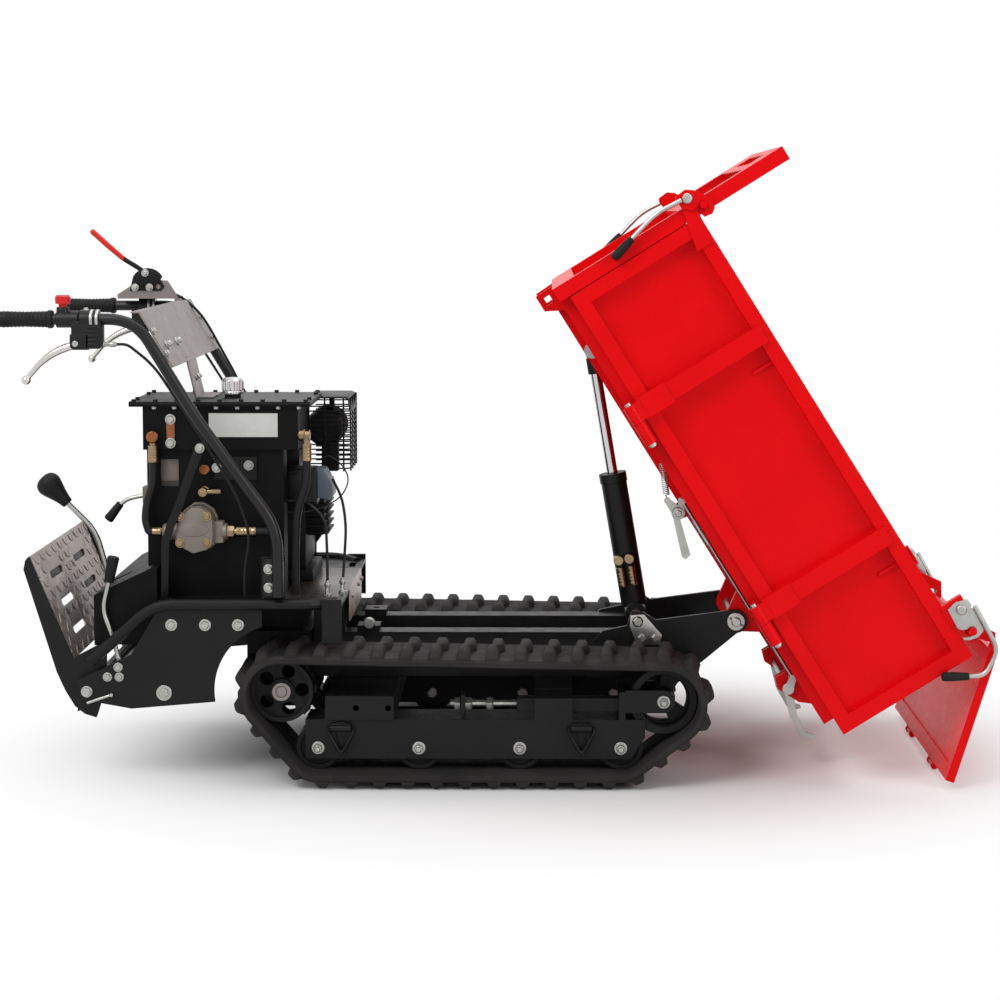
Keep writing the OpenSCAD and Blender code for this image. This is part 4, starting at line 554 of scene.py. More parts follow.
def leaving(i):
    """The angle at which the belt leaves a wheel for the next one."""
    (ax, az, ar), (bx, bz, br) = LOOP[i % 4], LOOP[(i + 1) % 4]
    return math.atan2(bz - az, bx - ax) - math.acos((ar - br) / math.hypot(bx - ax, bz - az))


def belt_line():
    """Points round the inside of the belt, each with its outward direction."""
    line = []
    for i, (x, z, r) in enumerate(LOOP):
        start, end = leaving(i + 3), leaving(i)
        while end < start:
            end += math.tau
        steps = math.ceil((end - start) / 0.09)
        for k in range(steps + 1):
            turn = start + (end - start) * k / steps
            out = Vector((math.cos(turn), 0, math.sin(turn)))
            line.append((Vector((x, 0, z)) + r * out, out))
    return line


def lug_places(line):
    """Where the lugs stand on the belt: point, forward and outward directions."""
    tread = [(p + BELT * out, out) for p, out in line]
    tread.append(tread[0])
    run = lengths([p for p, _ in tread])
    places = []
    for k in range(LUG_COUNT):
        along = (k + 0.5) * run[-1] / LUG_COUNT
        i = max(n for n in range(len(run) - 1) if run[n] <= along)
        share = (along - run[i]) / (run[i + 1] - run[i])
        out = tread[i][1].lerp(tread[i + 1][1], share).normalized()
        places.append((tread[i][0].lerp(tread[i + 1][0], share), Vector((-out.z, 0, out.x)), out))
    return places


def tracks():
    line = belt_line()
    for name, s in SIDES.items():
        middle = s * TRACK_Y * Y
        belt = Piece(name + "_belt")
        rows = [[p + off * out + middle + y * Y for off, y in BELT_SECTION] for p, out in line]
        belt.loft(rows, closed=True)
        for place, ahead, out in lug_places(line):
            rows = []
            for y, rise, lead in LUG_STATIONS:
                at = place + middle + y * Y + lead * ahead
                tops = [LUG_HEIGHT * rise * h if h > 0 else -LUG_ROOT for _, h in LUG_PROFILE]
                rows.append([at + a * ahead + top * out for (a, _), top in zip(LUG_PROFILE, tops)])
            belt.loft(rows)
        belt.done(RUBBER, "track_rubber", [name + "_track"], angle=40)


def idlers():
    """Idler wheels with three openings."""
    x, z, r = LOOP[1]
    section = [(-39, r - 3), (-36, r - 0.8), (36, r - 0.8), (39, r - 3), (39, 58), (36, 56), (-36, 56),
               (-39, 58)]
    openings = []
    for middle in (10, 130, 250):
        a, b = middle - 36, middle + 36
        openings.append(arc(x, z, 51, a, b) + arc(x, z, 27, b - 8, a + 8))
    turns = [math.tau * k / 64 for k in range(64)]
    for name, s in SIDES.items():
        y = s * TRACK_Y
        node = name + "_idler"
        wheel = Piece(node + "_wheel")
        wheel.slab(circle(x, z, 60, 48), y - 7, y + 7, 0, openings)
        rows = [[(x + c * math.cos(a), y + off, z + c * math.sin(a)) for off, c in section] for a in turns]
        wheel.loft(rows, closed=True)
        wheel.turned((x, y - 39, z), Y, collar(12.1, 24.5, 78, 1.5, 1.5), 36)
        wheel.done(CAST, "black_cast", [node], node)


def hardware():
    """Axles, tension rods, hinge shafts and their nuts."""
    piece = Piece("chassis_fasteners")
    axles = [(x, ROLLER_Z, 10) for x in ROLLER_X] + [(*IDLER, 12)]
    keeper = [(289, 336.8), (319, 338.8), (359, 292.8), (355, 270.8), (303, 270.8), (287, 312.8)]
    rod = [(0, 0), (0, 7), *threads(0.9, 48, 8, 7, 3), (144, 7), (144, 0)]
    for s in BOTH:
        out = s * Y
        for x, z, r in axles:
            piece.turned((x, s * 211, z), out, [(0, r), (98, r)], 28)
            piece.bolt((x, s * 308.5, z), out, 10, 9, 14)
            piece.turned((x, s * 319, z), out, stud(6, 7, 2, 1.4), 24)
            piece.bolt((x, s * 211.5, z), -out, 13, 10)
        y, z = s * TENSION[0], TENSION[1]
        piece.turned((-104, y, z), X, rod, 20)
        for x in (-95, -72, -26):
            piece.bolt((x, y, z), X, 15, 15)
        piece.turned(spot(TIP, s * 130), out, [(0, 9), (0, 20), (4, 20), (5, 19), (5, 9)], 40)
        cotter = [(TIP[0] + side * 15, TIP[1] - side * 9) for side in BOTH]
        piece.tube(at_y(cotter, s * 139), 1.9, 12, dome=True)
        piece.turned(spot(CYLINDER_PIN, s * 46), out, [(0, 12), (90, 12)], 32)
        piece.slab(keeper, *span(s, 130, 136), 1)
        for x, z, size in ((314, 285.8, 9), (345, 285.8, 9), (*CYLINDER_PIN, 11)):
            piece.bolt((x, s * 136, z), out, size, 6)
        piece.bolt(spot(PLATFORM_HINGE, s * SKIRT_Y), out, 10, 7, 12.5)
    piece.turned(spot(TIP, -144), Y, collar(0, 10, 288, 1.4, 1.4))
    piece.turned(spot(PLATFORM_HINGE, -303), Y, [(0, 8), (606, 8)], 24)
    piece.done(ZINC, "zinc", ["chassis_hardware"])


def wheel_trim():
    """Hub rings of the sprockets, and the lashing loops of the roller frames."""
    loops = Piece("lashing_loops")
    flange = [(0, 11.4), (0, 19), (1, 20.2), (3, 20.2), (4, 19), (4, 13), (1, 11.4)]
    for name, s in SIDES.items():
        hub = Piece(name + "_hub_ring")
        hub.turned(spot(SPROCKET, s * 303.5), s * Y, flange, 40)
        hub.bolt(spot(SPROCKET, s * 301), s * Y, 9, 4)
        hub.done(STEEL, "zinc", body=name + "_sprocket")
        low, high = span(s, 312, 321)
        y = s * 321
        for x in (-336, 178):
            eye = [(x - 27, 128), (x - 26, 118), (x, 70), (x + 26, 118), (x + 27, 128)]
            loops.tube(at_y(eye, y), 3.6, 14, bend=14)
            loops.turned((x - 22, y, 128), X, collar(3.8, 7.8, 44, 1, 0.8), 24)
            loops.block((x - 20, low, 126), (x + 20, high, 138), 1.5)
    loops.done(BLACK, "black_paint")


# Power pack

PUMP = (-659, 544)
PUMP_PORT = (-220, 536)
SILENCER = (-408, 732)
ENGINE = Matrix.Translation((-520, 0, DECK_Z))


def scaled(outline, share, middle):
    """An outline made larger or smaller about a middle."""
    x0, z0 = middle
    return [(x0 + share * (x - x0), z0 + share * (z - z0)) for x, z in outline]


def pump():
    body = Piece("pump_body")
    case = [(-701, 515), (-697, 544), (-687, 577), (-664, 594), (-644, 594), (-624, 581), (-616, 564),
            (-616, 511), (-631, 498), (-661, 490), (-681, 501)]
    body.slab(scaled(case, 1.05, PUMP), -200, -188, 3)
    body.slab(case, -238, -199, 4)
    body.slab(scaled(case, 0.97, PUMP), -248, -237, 3)
    boss = [(PUMP[0] + 33 * x, PUMP[1] + 15 * z) for x, z in circle(0, 0, 1, 36)]
    body.slab(boss, -249.4, -247, 0.6)
    body.block((-620, -234, 512), (-596, -206, 560), 5)
    y, z = PUMP_PORT
    body.turned((-600, y, z), X, [(0, 17), (3, 18), (9, 18), (11, 15), (11, 0)], 28)
    body.turned((-697, y, z), -X, stud(18, 32, 4, 3), 28)
    body.done(ALLOY, "cast_alloy", ["gear_pump"])
    bolts = Piece("pump_bolts")
    for x in (-688, -630):
        for z in (515, 573):
            bolts.turned((x, -247.6, z), -Y, stud(10.5, 2, 0.4, 0.5), 28)
            bolts.bolt((x, -249.4, z), -Y, 7.6, 5.4)
    bolts.done(BRASS, "brass")


def ferrule(piece, at, axis, length, radius):
    """A crimped hose end."""
    neck, groove = 0.7 * radius, 0.975 * radius
    profile = [(0, 0), (0, neck), (0.1 * length, neck), (0.12 * length, radius)]
    for k in range(4):
        along = length * (0.3 + 0.15 * k)
        profile += [(along, radius), (along + 1, groove), (along + 3, groove), (along + 4, radius)]
    profile += [(0.97 * length, radius), (length, 0.92 * radius), (length, 0)]
    piece.turned(at, axis, profile, 28)


def fittings():
    brass = Piece("brass_unions")
    y, z = PUMP_PORT
    brass.bolt((-590, y, z), X, 13, 16)
    ferrule(brass, (-575, y, z), X, 48, 11.5)
    union = [(0, 8), (4, 10.5), (10, 10.5), (12, 9.4), (23, 9.4), (23, 0)]
    brass.turned((-729, y, z), -X, union, 24)
    ferrule(brass, (-751, -212, 728), -Z, 42, 11)
    ferrule(brass, (-418, -204, 732), -Z, 44, 11)
    elbow = [(0, 9), (4, 13), (14, 13), (16, 11), (26, 11), (27, 9), (27, 0)]
    brass.turned((-437, -204, 745), X, elbow, 24)
    neck = [(-8, 0), (-8, 6), (-4, 9.4), (4, 9.4), (16, 7.5), (16, 0)]
    brass.turned((-418, -204, 745), -Z, neck, 24)
    tap = [(0, 10), (10, 10), (12, 8), (30, 8), (32, 9.5), (40, 9.5), (40, 0)]
    brass.turned((-642, -188, 622), -Y, tap, 24)
    brass.turned((-634, -214, 622), X, stud(6, 30, 4, 1.4), 20)
    brass.done(BRASS, "brass", ["hydraulic_fittings"])
    copper = Piece("copper_caps")
    for x, y, z, r, run in ((-751, -200, 742, 13, 24), (-642, -188, 668, 11.4, 14)):
        copper.turned((x, y, z), -Y, stud(r, run, 2, 2), 32)
    copper.turned((-751, -212, 742), -Z, [(0, 6.4), (16, 6.4)], 20)
    copper.block((-723, -203.5, 722), (-705, -200, 784), 0.8)
    copper.done(COPPER, "brass")


def panel_trim():
    """Bolts, bracket, brace and bare plate on the upright panel and the tank."""
    zinc = Piece("panel_bolts")
    for z in (727, 779):
        zinc.turned((-714, -203.2, z), -Y, stud(11.5, 2.5, 0.5, 0.5), 28)
        zinc.bolt((-714, -205.5, z), -Y, 9, 6.5)
    for x in (-749, -705, -660, -614, -568, -524, -479, -434):
        zinc.bolt((x, -206, 807.2), -Z, 5, 5, 6.5)
    for x, y, z, washer in ((-616, -193, 672, 11), (-546, -193, 677, 11), (-753, -188, 418, 11),
                            (-641, -262, 722, 10.5)):
        zinc.bolt((x, y, z), -Y, 7.5, 6, washer)
    zinc.done(ZINC, "zinc")
    plate = Piece("tank_bracket")
    plate.block((-622, -193, 645), (-528, -188, 696), 1)
    brace = [(-652, 726), (-647, 735), (-636, 735), (-630, 724), (-679, 597), (-699, 550), (-709, 516),
             (-713, 392), (-729, 392), (-726, 520), (-715, 556), (-695, 603)]
    plate.slab(brace, -262, -256, 1)
    plate.turned((-641, -257, 722), Y, [(0, 8), (57, 8)], 20)
    plate.block((-731, -260, 392), (-707, -236, 397), 1)
    plate.done(BLACK, "black_paint")
    valve = Piece("valve_block").block((-745, -176, 640), (-696, -120, 700), 3)
    valve.done(ALLOY, "cast_alloy")
    card = Piece("tank_plate").block((-631, -201.2, 740), (-481, -199.6, 792), 0.4)
    card.done(CARD, "steel_plate")


def silencer():
    """Ribbed can under a cover, in a guard of wires."""
    sheet = [(-446, 802), (-446, 806), (-358, 806), (-349, 801), (-345, 770), (-348, 769.5), (-352, 799),
             (-359, 802)]
    Piece("silencer_cover").slab(sheet, 46, 216, 0.8).done(BLACK, "black_paint")
    can = Piece("silencer_can")
    ribs = [(0, 0), (0, 34), (4, 40), (12, 43)]
    for k in range(5):
        along = 22 + 20 * k
        ribs += [(along, 43), (along + 3, 45), (along + 9, 45), (along + 12, 43)]
    ribs += [(124, 43), (130, 40), (134, 34), (134, 0)]
    can.turned(spot(SILENCER, 64), Y, ribs, 40)
    can.turned(spot(SILENCER, 196), Y, [(0, 14), (34, 14), (36, 13), (36, 10), (10, 10), (10, 0)], 24)
    can.block((-415, 65, 632), (-376, 95, 700), 4)
    can.block((-401, 110, 760), (-390, 130, 803), 1)
    can.done(CAST, "engine_black", ["muffler"])
    wires = Piece("silencer_guard")
    left, right, near, far = -444, -347, 48, 214
    for k in range(14):
        z = 641 + 11 * k
        wires.tube([(left, near, z), (right, near, z), (right, far, z), (left, far, z)], 1.7, 8, bend=14)
    posts = [(left, near), (-405, near), (-362, near), (-405, far)]
    posts += [(right, y) for y in (62, 110, 158, 202)]
    for x, y in posts:
        wires.tube([(x, y, 634), (x, y, 803)], 2, 8)
    wires.done(BLACK_SATIN, "black_paint")


def engine():
    """Engine, fuel tank and air cleaner, measured from the deck under the crankshaft."""
    case = Piece("engine_case", ENGINE)
    case.block((-95, -30, 0), (95, 170, 26), 6)
    case.block((-105, -20, 25), (80, 160, 210), 16)
    case.block((50, 5, 100), (118, 105, 240), 8)
    for k in range(8):
        case.block((30, -10, 106 + 16 * k), (128, 120, 110 + 16 * k), 1.2)
    fan = [(0, 100), (6, 108), (42, 108), (50, 98), (50, 60), (58, 58), (74, 52), (78, 40), (80, 32),
           (84, 30), (84, 0)]
    case.turned((0, 159.5, 130), Y, fan, 48)
    for x, z in circle(0, 130, 78, 12):
        case.turned((x, 209, z), Y, [(0, 9), (4, 8), (4, 0)], 16)
    case.block((-60, 70, 206), (10, 150, 240), 4)
    pulley = [(0, 0), (0, 60), (1.5, 62), (26, 62), (28, 60), (28, 18), (140, 18)]
    case.turned((-20, -158, 110), Y, pulley, 40)
    case.block((60, -70, 180), (110, 10, 215), 6)
    case.done(BLACK_SATIN, "engine_black", ["engine"])
    tank = Piece("fuel_tank", ENGINE)
    tank.block((-148, 62, 237), (58, 248, 300), 20)
    tank.block((-147, 63, 282), (57, 247, 372), 24)
    tank.block((-150, 60, 290), (60, 250, 296), 2)
    lid = [(0, 24), (4, 26), (5, 28), (17, 28), (21, 24), (22, 0)]
    tank.turned((-60, 170, 370), Z, lid, 36)
    tank.done(BLACK, "engine_black")
    cleaner = Piece("air_cleaner", ENGINE)
    cleaner.block((40, -118, 191), (116, -32, 267), 10)
    cleaner.turned((70, -117, 228), -Y, stud(30, 3, 1, 4), 32)
    cleaner.done(PLASTIC, "engine_black")
    cap = [(110, 204), (138, 196), (150, 206), (148, 232), (130, 266), (110, 268)]
    Piece("air_cleaner_cap", ENGINE).slab(cap, -112, -38, 7).done(SLATE, "cast_alloy")


# Rear frame


def frame_trim():
    """Bolts, latch pin and cable ends on the rear frame, and the bare sheet of the deck."""
    zinc = Piece("frame_bolts")
    heads = [(x, 347, 9, 6, 13) for x in (-699.5, -627, -556.5)] + [(-716.6, 199.7, 11, 6, 17)]
    heads += [(x, z, 7, 5, 10) for x, z in ((-838, 234), (-812.7, 234), (-815, 255))]
    for s in BOTH:
        for x, z, *size in heads:
            zinc.bolt((x, s * SKIRT_Y, z), s * Y, *size)
    zinc.tube([(-880, -306, 179), (-829, -306, 196)], 3, 16, dome=True)
    zinc.turned((-829, -301, 196), -Y, stud(4, 10), 20)
    thread = [(0, 9), (4, 9), (5, 5), *threads(6, 7, 4.4, 5)]
    thread += [(21, 7), (27, 7), (28, 4.6), (34, 4.2), (35, 0)]
    for x, y in ((-345, -170), (-374, -208)):
        zinc.turned((x, y, DECK_Z + 1), Z, thread, 24)
    zinc.turned((-291, -120, 316), -Y, stud(13, 8, 2, 2), 32)
    zinc.done(ZINC, "zinc")
    deck = Piece("deck_sheet").block((-470, -286, DECK_Z), (-335, 150, DECK_Z + 1.2), 0.4)
    deck.done(DECK, "steel_plate")
    flange = Piece("deck_flange")
    flange.block((-335.4, -130, 322), (-332, 150, DECK_Z + 1.2), 0.8)
    for y in (-90, 60, 130):
        flange.bolt((-332, y, 372), X, 6, 5)
    # Painted reflection: the flange takes the tread plate's light colour, which stands in for the mirrored
    # white studio
    flange.done(TREAD_PAINTED_REFLECTION, "steel_plate")


# Console

PLATE_BEND = Vector((-765, 0, BAR_Z))
PLATE_FALL = Vector((125, 0, -208)).normalized()
PLATE_RISE = Vector((208, 0, 125)).normalized()
PLATE_FACE = 16
STRAP_Y = (-130, -20)
LID_TOP = 818.4


def on_plate(along, y):
    """A point on the face of the console plate, some way down from its bend."""
    return PLATE_BEND + along * PLATE_FALL + PLATE_FACE * PLATE_RISE + y * Y


def console_trim():
    bolts = Piece("console_bolts")
    for y in (-304, 304):
        for along in (40, 96):
            bolts.bolt(on_plate(along, y), PLATE_RISE, 6, 5, 9)
    for y in (-250, -129):
        bolts.bolt(on_plate(78, y), PLATE_RISE, 7, 9, 11)
    for y in (-72, -48):
        bolts.bolt((-678, y, 861), PLATE_RISE, 6, 6, 9)
    bolts.done(ZINC, "zinc")
    strap = Piece("console_strap")
    top = PLATE_BEND + 118 * PLATE_FALL + 13 * PLATE_RISE
    foot = Vector((-672, 0, LID_TOP))
    outline = [(top.x, top.z), (foot.x, foot.z), (foot.x + 3.4, foot.z + 2), (top.x + 3.4, top.z + 2)]
    strap.slab(outline, *STRAP_Y, 0.6)
    strap.block((foot.x, STRAP_Y[0], LID_TOP - 0.2), (-632, STRAP_Y[1], LID_TOP + 4), 0.8)
    strap.done(STEEL, "steel_plate")


# Hoses and cables

HOSE_ROUTES = {
    "suction_hose": [(-751, -212, 690), (-751, -212, 640), (-765, -215, 600), (-768, -220, 560),
                     (-760, -220, 536), (-751, -220, 536)],
    "pressure_hose": [(-529, -220, 536), (-498, -220, 536), (-490, -215, 520), (-490, -200, 470),
                      (-512, -205, 430), (-512, -205, DECK_Z)],
    "return_hose": [(-418, -204, 690), (-418, -204, 640), (-440, -200, 580), (-445, -195, 500),
                    (-445, -195, 440), (-445, -195, DECK_Z)],
}
CABLE_ROUTES = {
    "near_clutch_cable": [(-805.8, -322, 950), (-782, -322, 950), (-730, -306, 905), (-650, -298, 780),
                          (-560, -292, 630), (-530, -285, 540), (-545, -282, 460), (-545, -282, DECK_Z)],
    "far_clutch_cable": [(-805.8, 322, 950), (-782, 322, 950), (-730, 306, 905), (-650, 298, 780),
                         (-580, 292, 650), (-545, 282, 540), (-545, 282, DECK_Z)],
    "brake_cable": [(-800, 262, 1040), (-764, 270, 1023), (-728, 276, 989), (-706, 280, 955),
                    (-675, 284, 896), (-640, 288, 830), (-560, 285, 640), (-530, 282, 480),
                    (-530, 282, DECK_Z)],
    "throttle_cable": [(-370, -130, 640), (-348, -140, 600), (-338, -150, 540), (-342, -160, 460),
                       (-345, -170, 410), (-345, -170, DECK_Z)],
    "choke_wire": [(-400, -100, 680), (-380, -100, 689), (-349, -100, 666), (-335, -100, 635),
                   (-349, -102, 600), (-384, -110, 576), (-424, -125, 565), (-481, -145, 567),
                   (-521, -150, 583)],
    "gear_cable": [(-469.8, -160, 594), (-450, -160, 594), (-415, -188, 594), (-378, -200, 560),
                   (-374, -208, 480), (-374, -208, DECK_Z)],
}
HOSE_RADIUS = 9
HOSE_BEND = 30
CABLE_RADIUS = 3
WIRE_RADIUS = 1.5
CABLE_BEND = 40


def flexible(name, route, radius, bend, node):
    """A hose or cable between two fixed ends."""
    obj = Piece(name).tube(route, radius, 20, bend).done(HOSE, "rubber_black", [node])


def lines():
    for name, route in HOSE_ROUTES.items():
        flexible(name, route, HOSE_RADIUS, HOSE_BEND, "hoses")
    for name, route in CABLE_ROUTES.items():
        radius = WIRE_RADIUS if name == "choke_wire" else CABLE_RADIUS
        flexible(name, route, radius, CABLE_BEND, "control_cables")


# Box latches and release gear

BOX = Matrix.Translation(spot(TIP, 0)) @ Matrix.Rotation(TIP_ANGLE, 4, "Y")
LATCH_Y = 334
LATCH_THICK = 5
PIN_SLOT = 8.6
ROPE_BAR_Y = 308.6


def hooked(reach, at, sweep_in, sweep_out):
    """The edge of an open slot that swings round the pivot and holds a pin."""
    cx, cz = reach * math.cos(math.radians(at)), reach * math.sin(math.radians(at))
    edge = arc(0, 0, reach - PIN_SLOT, at - sweep_in, at)
    edge += arc(cx, cz, PIN_SLOT, at + 180, at, 12)[1:-1]
    return edge + arc(0, 0, reach + PIN_SLOT, at, at - sweep_out)


def latch(name, s, pivot, outline, rod, grip_at, grip_turn, coat):
    plate = Piece(name + "_plate", BOX)
    edge = [(pivot[0] + x, pivot[1] + z) for x, z in outline]
    plate.slab(edge, *span(s, LATCH_Y, LATCH_Y + LATCH_THICK), 0.7, [circle(*pivot, 6.1)])
    plate.done(coat, "zinc", [name], name)
    y = s * (LATCH_Y + LATCH_THICK + 4)
    Piece(name + "_rod", BOX).tube(at_y(rod, y), 5, 20, bend=24).done(ZINC, "zinc", body=name)
    grip = Piece(name + "_grip", BOX)
    profile = [(0, 4.9), (0, 6.4), (2, 7.8), (8, 8.2), (28, 9.6), (50, 10), (56, 8.6), (58, 5), (58, 0)]
    grip.turned(spot(grip_at, y), leaning(grip_turn), profile, 28)
    grip.done(GRIP, "rubber_black", body=name)


def latches():
    tail = [(-20, -2), (-15, -24), (30, -27)] + hooked(52.1, -3.3, 26, 25)
    tail += [(60, -27), (66, -16), (69, 0), (64, 16), (52, 23), (30, 24), (12, 24), (7, 19), (2, 24),
             (-12, 23)]
    head = [(-18, 6), (-16, -18), (-8, -22), (12, -20)] + hooked(36.4, 37.2, 46, 26)
    head += [(52, 11), (55, 28), (47, 39), (28, 43), (6, 31), (-8, 20)]
    tail_pivot, head_pivot = (185, 422), (-858, 388)
    tail_rod = [(192, 450), (298, 444), (330, 390), (312, 358)]
    head_rod = [(-861, 376), (-866, 316), (-854, 268), (-846, 240)]
    rivet = [(0, 10.8), (4.5, 10.8), (6.2, 9), (6.8, 6), (6.8, 0)]
    for name, s in SIDES.items():
        latch(name + "_tail_latch", s, tail_pivot, tail, tail_rod, (314, 362), 211, ZINC)
        latch(name + "_head_latch", s, head_pivot, head, head_rod, (-848, 247), 165, RED)
        heads = Piece(name + "_latch_heads", BOX)
        for pivot in (tail_pivot, head_pivot):
            heads.turned(spot(pivot, s * 339.6), s * Y, rivet, 28)
        heads.done(ZINC, "zinc", body=name + "_side")
        bars = Piece(name + "_rope_bars", BOX)
        for u in (-469, 37):
            bars.tube([(u, s * ROPE_BAR_Y, w) for w in (316, 366)], 4, 16, dome=True)
        bars.done(RED, "red_paint", body=name + "_side")


SPRING_Y = -160
SPRING_FROM = Vector((-403, SPRING_Y, 54))
SPRING_TO = Vector((-314, SPRING_Y, 14))
SPRING_TURNS = 18
TURN_STEPS = 16
SPRING_LEAD = 12
SPRING_RADIUS = 6.5


def spring():
    """Return spring with a hooked end, and the nut of the release lever."""
    a, b = SPRING_FROM, SPRING_TO
    run = (b - a).length
    ahead = (b - a).normalized()
    up = Y.cross(ahead)
    steps = SPRING_TURNS * TURN_STEPS
    path = [a, a + ahead * 4]
    for k in range(steps + 1):
        turn = math.tau * k / TURN_STEPS
        along = SPRING_LEAD + (run - 2 * SPRING_LEAD) * k / steps
        radius = SPRING_RADIUS * (min(1, k / 6, (steps - k) / 6) * 0.7 + 0.3)
        path.append(a + ahead * along + radius * (math.cos(turn) * up + math.sin(turn) * Y))
    path += [b - ahead * 5 + Y * 4, b + Y * 4, b - Y * 4]
    Piece("return_spring", BOX).tube(path, 1.15, 8).done(ZINC, "zinc", ["release_spring"], "box")
    nut = Piece("release_nut").bolt((392.1, -169.2, 568.8), -Y, 8, 5, 12.5)
    nut.done(ZINC, "zinc", body="box")


# Tipping cylinder

CYLINDER_LEAN = math.radians(-9.488)
CYLINDER = Matrix.Translation(spot(CYLINDER_PIN, 0)) @ Matrix.Rotation(CYLINDER_LEAN, 4, "Y")


def cylinder_trim():
    ports = Piece("cylinder_ports", CYLINDER)
    for x in (-19, 5):
        ports.turned((x, -26, 125), -Y, [(0, 10), (0, 11.3), (17, 11.3), (18.5, 10), (18.5, 0)], 36)
        ferrule(ports, (x, -37.5, 114), -Z, 50, 9)
    ports.done(BRASS, "brass", body="cylinder_barrel")
    profile = [(0, 12), (0, 16), (1.5, 17), (36, 17), (38, 15), (38, 12)]
    sleeve = Piece("rod_sleeve", CYLINDER).turned((0, 0, 548), Z, profile, 36)
    sleeve.done(BLACK, "black_paint", body="cylinder_rod")


# Operator platform

TREAD_TOP = Vector((-1012, 0, 487))
TREAD_FOOT = Vector((-920, 0, 262))
TREAD_HALF = 272
SLOT_ROWS = (62, 128, 194)
SLOT_Y = 113
SLOT_HALF = 47
SLOT_RADIUS = 8
LOZENGE = ((13, 0), (4, 4), (-4, 4), (-13, 0), (-4, -4), (4, -4))
LOZENGE_PITCH = 27


def platform_frame():
    piece = Piece("platform_frame")
    cheek = [(-1009, 490), (-1017, 482), (-1021, 462), (-952, 238), (-934, 198), (-914, 165), (-893, 148),
             (-868, 140), (-861, 160), (-854, 184), (-844, 214), (-844, 290), (-862, 299), (-917, 270),
             (-1007, 488)]
    lug = [(-912, 150), (-880, 160), (-872, 200), (-894, 204), (-908, 190)]
    for s in BOTH:
        piece.slab(cheek, *span(s, TREAD_HALF, 280), 1.2)
        piece.slab(lug, *span(s, 260, 266), 0.8)
        low, high = span(s, 253.4, 264)
        piece.turned((-900, low, 172), Y, [(0, 5), (high - low, 5)])
    piece.turned(spot(PLATFORM_HINGE, -279), Y, [(0, 8.2), (0, 14), (558, 14), (558, 8.2)], 36)
    piece.done(BLACK, "black_paint", ["platform"], "platform")


def platform_tread():
    """Slotted plate with raised lozenges, drawn down its length and across, and its stiffener."""
    length = (TREAD_FOOT - TREAD_TOP).length
    down = (TREAD_FOOT - TREAD_TOP).normalized()
    turn = Matrix((down, Y.cross(down), Y)).transposed().to_4x4()
    tread = Piece("platform_tread", Matrix.Translation(TREAD_TOP) @ turn)
    slots = []
    for row in SLOT_ROWS:
        for y in (-SLOT_Y, SLOT_Y):
            ends = arc(row, y + SLOT_HALF, SLOT_RADIUS, 0, 180, 6)
            slots.append(ends + arc(row, y - SLOT_HALF, SLOT_RADIUS, 180, 360, 6))
    outline = [(0, -TREAD_HALF), (length, -TREAD_HALF), (length, TREAD_HALF), (0, TREAD_HALF)]
    tread.slab(outline, 0, 4, 0.4, slots)
    for i in range(int(length / LOZENGE_PITCH)):
        for k in range(int(2 * TREAD_HALF / LOZENGE_PITCH)):
            x, y = (i + 0.6) * LOZENGE_PITCH, -TREAD_HALF + (k + 0.6) * LOZENGE_PITCH
            if any(abs(x - row) < 22 and abs(abs(y) - SLOT_Y) < 70 for row in SLOT_ROWS):
                continue
            lean = math.radians(45 if (i + k) % 2 else -45)
            c, s = math.cos(lean), math.sin(lean)
            tread.slab([(x + c * a - s * b, y + s * a + c * b) for a, b in LOZENGE], -1.4, 0.2)
    # The tread's light colour is painted reflection of the white studio
    tread.done(TREAD_PAINTED_REFLECTION, "steel_plate", body="platform")
    stiffener = Piece("platform_stiffener", tread.at)
    stiffener.block((24, 4, 52), (length - 12, 12, 186), 2)
    stiffener.block((44, 4, -186), (80, 12, 54), 2)
    stiffener.done(BLACK, "black_paint", body="platform")


handlebar()
grips()
perches()
clutch_levers()
stop_knob()
brake_lever()
hand_levers()
tracks()
idlers()
hardware()
wheel_trim()
pump()
fittings()
panel_trim()
silencer()
engine()
frame_trim()
console_trim()
lines()
latches()
spring()
cylinder_trim()
platform_frame()
platform_tread()

# Studio: pale floor, soft light, white surroundings

WORLD_LIGHT = 0.45
FLOOR_TONE = 0.8
FLOOR_SIZE = 60
# Where the floor's shading begins and ends to give way to white
FADE = (0.4, 1.0)


def shown(tree):
    """One for rays that show the surroundings: seen directly, mirrored or through glass."""
    total = tree.add("ShaderNodeLightPath", "Is Camera Ray")
    rays = total.node.outputs
    for kind in ("Is Glossy Ray", "Is Transmission Ray"):
        total = tree.add("ShaderNodeMath", 0, {0: total, 1: rays[kind]}, operation="MAXIMUM")
    return total


def surroundings():
    scene = bpy.context.scene
    scene.view_settings.view_transform = "Standard"
    scene.world = bpy.data.worlds.new("studio")
    tree = Nodes(scene.world)
    inputs = {"Value": shown(tree), "To Min": WORLD_LIGHT, "To Max": 1.0}
    strength = tree.add("ShaderNodeMapRange", "Result", inputs)
    tree.fill(tree.nodes["Background"], {"Color": (1, 1, 1, 1), "Strength": strength})


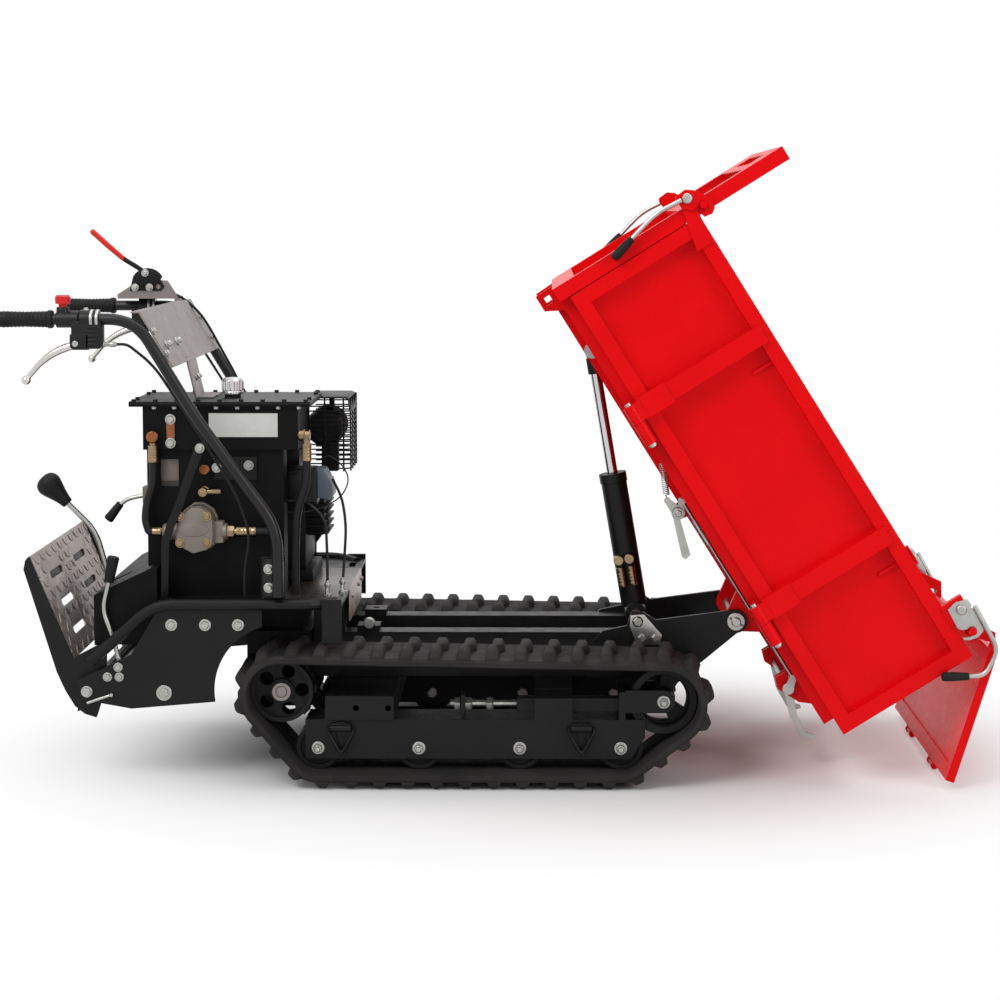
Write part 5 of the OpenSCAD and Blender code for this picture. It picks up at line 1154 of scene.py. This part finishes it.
def floor():
    bpy.ops.mesh.primitive_plane_add(size=FLOOR_SIZE)
    plane = bpy.context.object
    plane.name = "floor"
    material = bpy.data.materials.new("floor")
    tree = Nodes(material)
    tree.nodes.remove(tree.nodes["Principled BSDF"])
    diffuse = tree.add("ShaderNodeBsdfDiffuse", "BSDF", {"Color": (FLOOR_TONE, FLOOR_TONE, FLOOR_TONE, 1)})
    glow = tree.add("ShaderNodeEmission", "Emission")
    inputs = {"Vector": tree.add("ShaderNodeNewGeometry", "Position"), "Location": (-0.1, 0, 0),
              "Scale": (0.7, 1, 1)}
    reach = {0: tree.add("ShaderNodeMapping", "Vector", inputs)}
    inputs = {"Value": tree.add("ShaderNodeVectorMath", "Value", reach, operation="LENGTH"),
              "From Min": FADE[0], "From Max": FADE[1]}
    fade = tree.add("ShaderNodeMapRange", "Result", inputs, interpolation_type="SMOOTHSTEP")
    share = tree.add("ShaderNodeMath", 0, {0: shown(tree), 1: fade}, operation="MULTIPLY")
    mix = tree.add("ShaderNodeMixShader", "Shader", {"Fac": share, 1: diffuse, 2: glow})
    tree.fill(tree.nodes["Material Output"], {"Surface": mix})
    plane.data.materials.append(material)


def lamp(name, place, target, size, energy):
    light = bpy.data.lights.new(name, "AREA")
    light.size = size
    light.energy = energy
    obj = bpy.data.objects.new(name, light)
    bpy.context.scene.collection.objects.link(obj)
    obj.location = place
    obj.rotation_euler = (Vector(target) - Vector(place)).to_track_quat("-Z", "Y").to_euler()


CAMERA_AT = (0.107, -4.7328, 1.2306)
SENSOR = 36
FOCAL_SHARE = 2.0984
PITCH, YAW, ROLL = math.radians(3.799), math.radians(0.771), math.radians(-0.062)


def camera():
    """A camera nearly level, with its frame shifted down as the picture's is."""
    data = bpy.data.cameras.new("camera")
    data.sensor_width = SENSOR
    data.lens = SENSOR * FOCAL_SHARE
    data.shift_x = -0.02
    data.shift_y = -0.15
    obj = bpy.data.objects.new("camera", data)
    bpy.context.scene.collection.objects.link(obj)
    tilt = Matrix.Rotation(math.pi / 2 - PITCH, 4, "X") @ Matrix.Rotation(ROLL, 4, "Z")
    obj.matrix_world = Matrix.Translation(CAMERA_AT) @ Matrix.Rotation(YAW, 4, "Z") @ tilt
    bpy.context.scene.camera = obj


surroundings()
floor()
lamp("key", (-2.6, -3.4, 4.2), (0, 0, 0.6), 2.6, 140)
lamp("fill", (3.6, -3.0, 2.4), (0.2, 0, 0.6), 2.4, 60)
lamp("top", (0.2, 0.6, 4.6), (0, 0, 0.5), 3.4, 80)
camera()
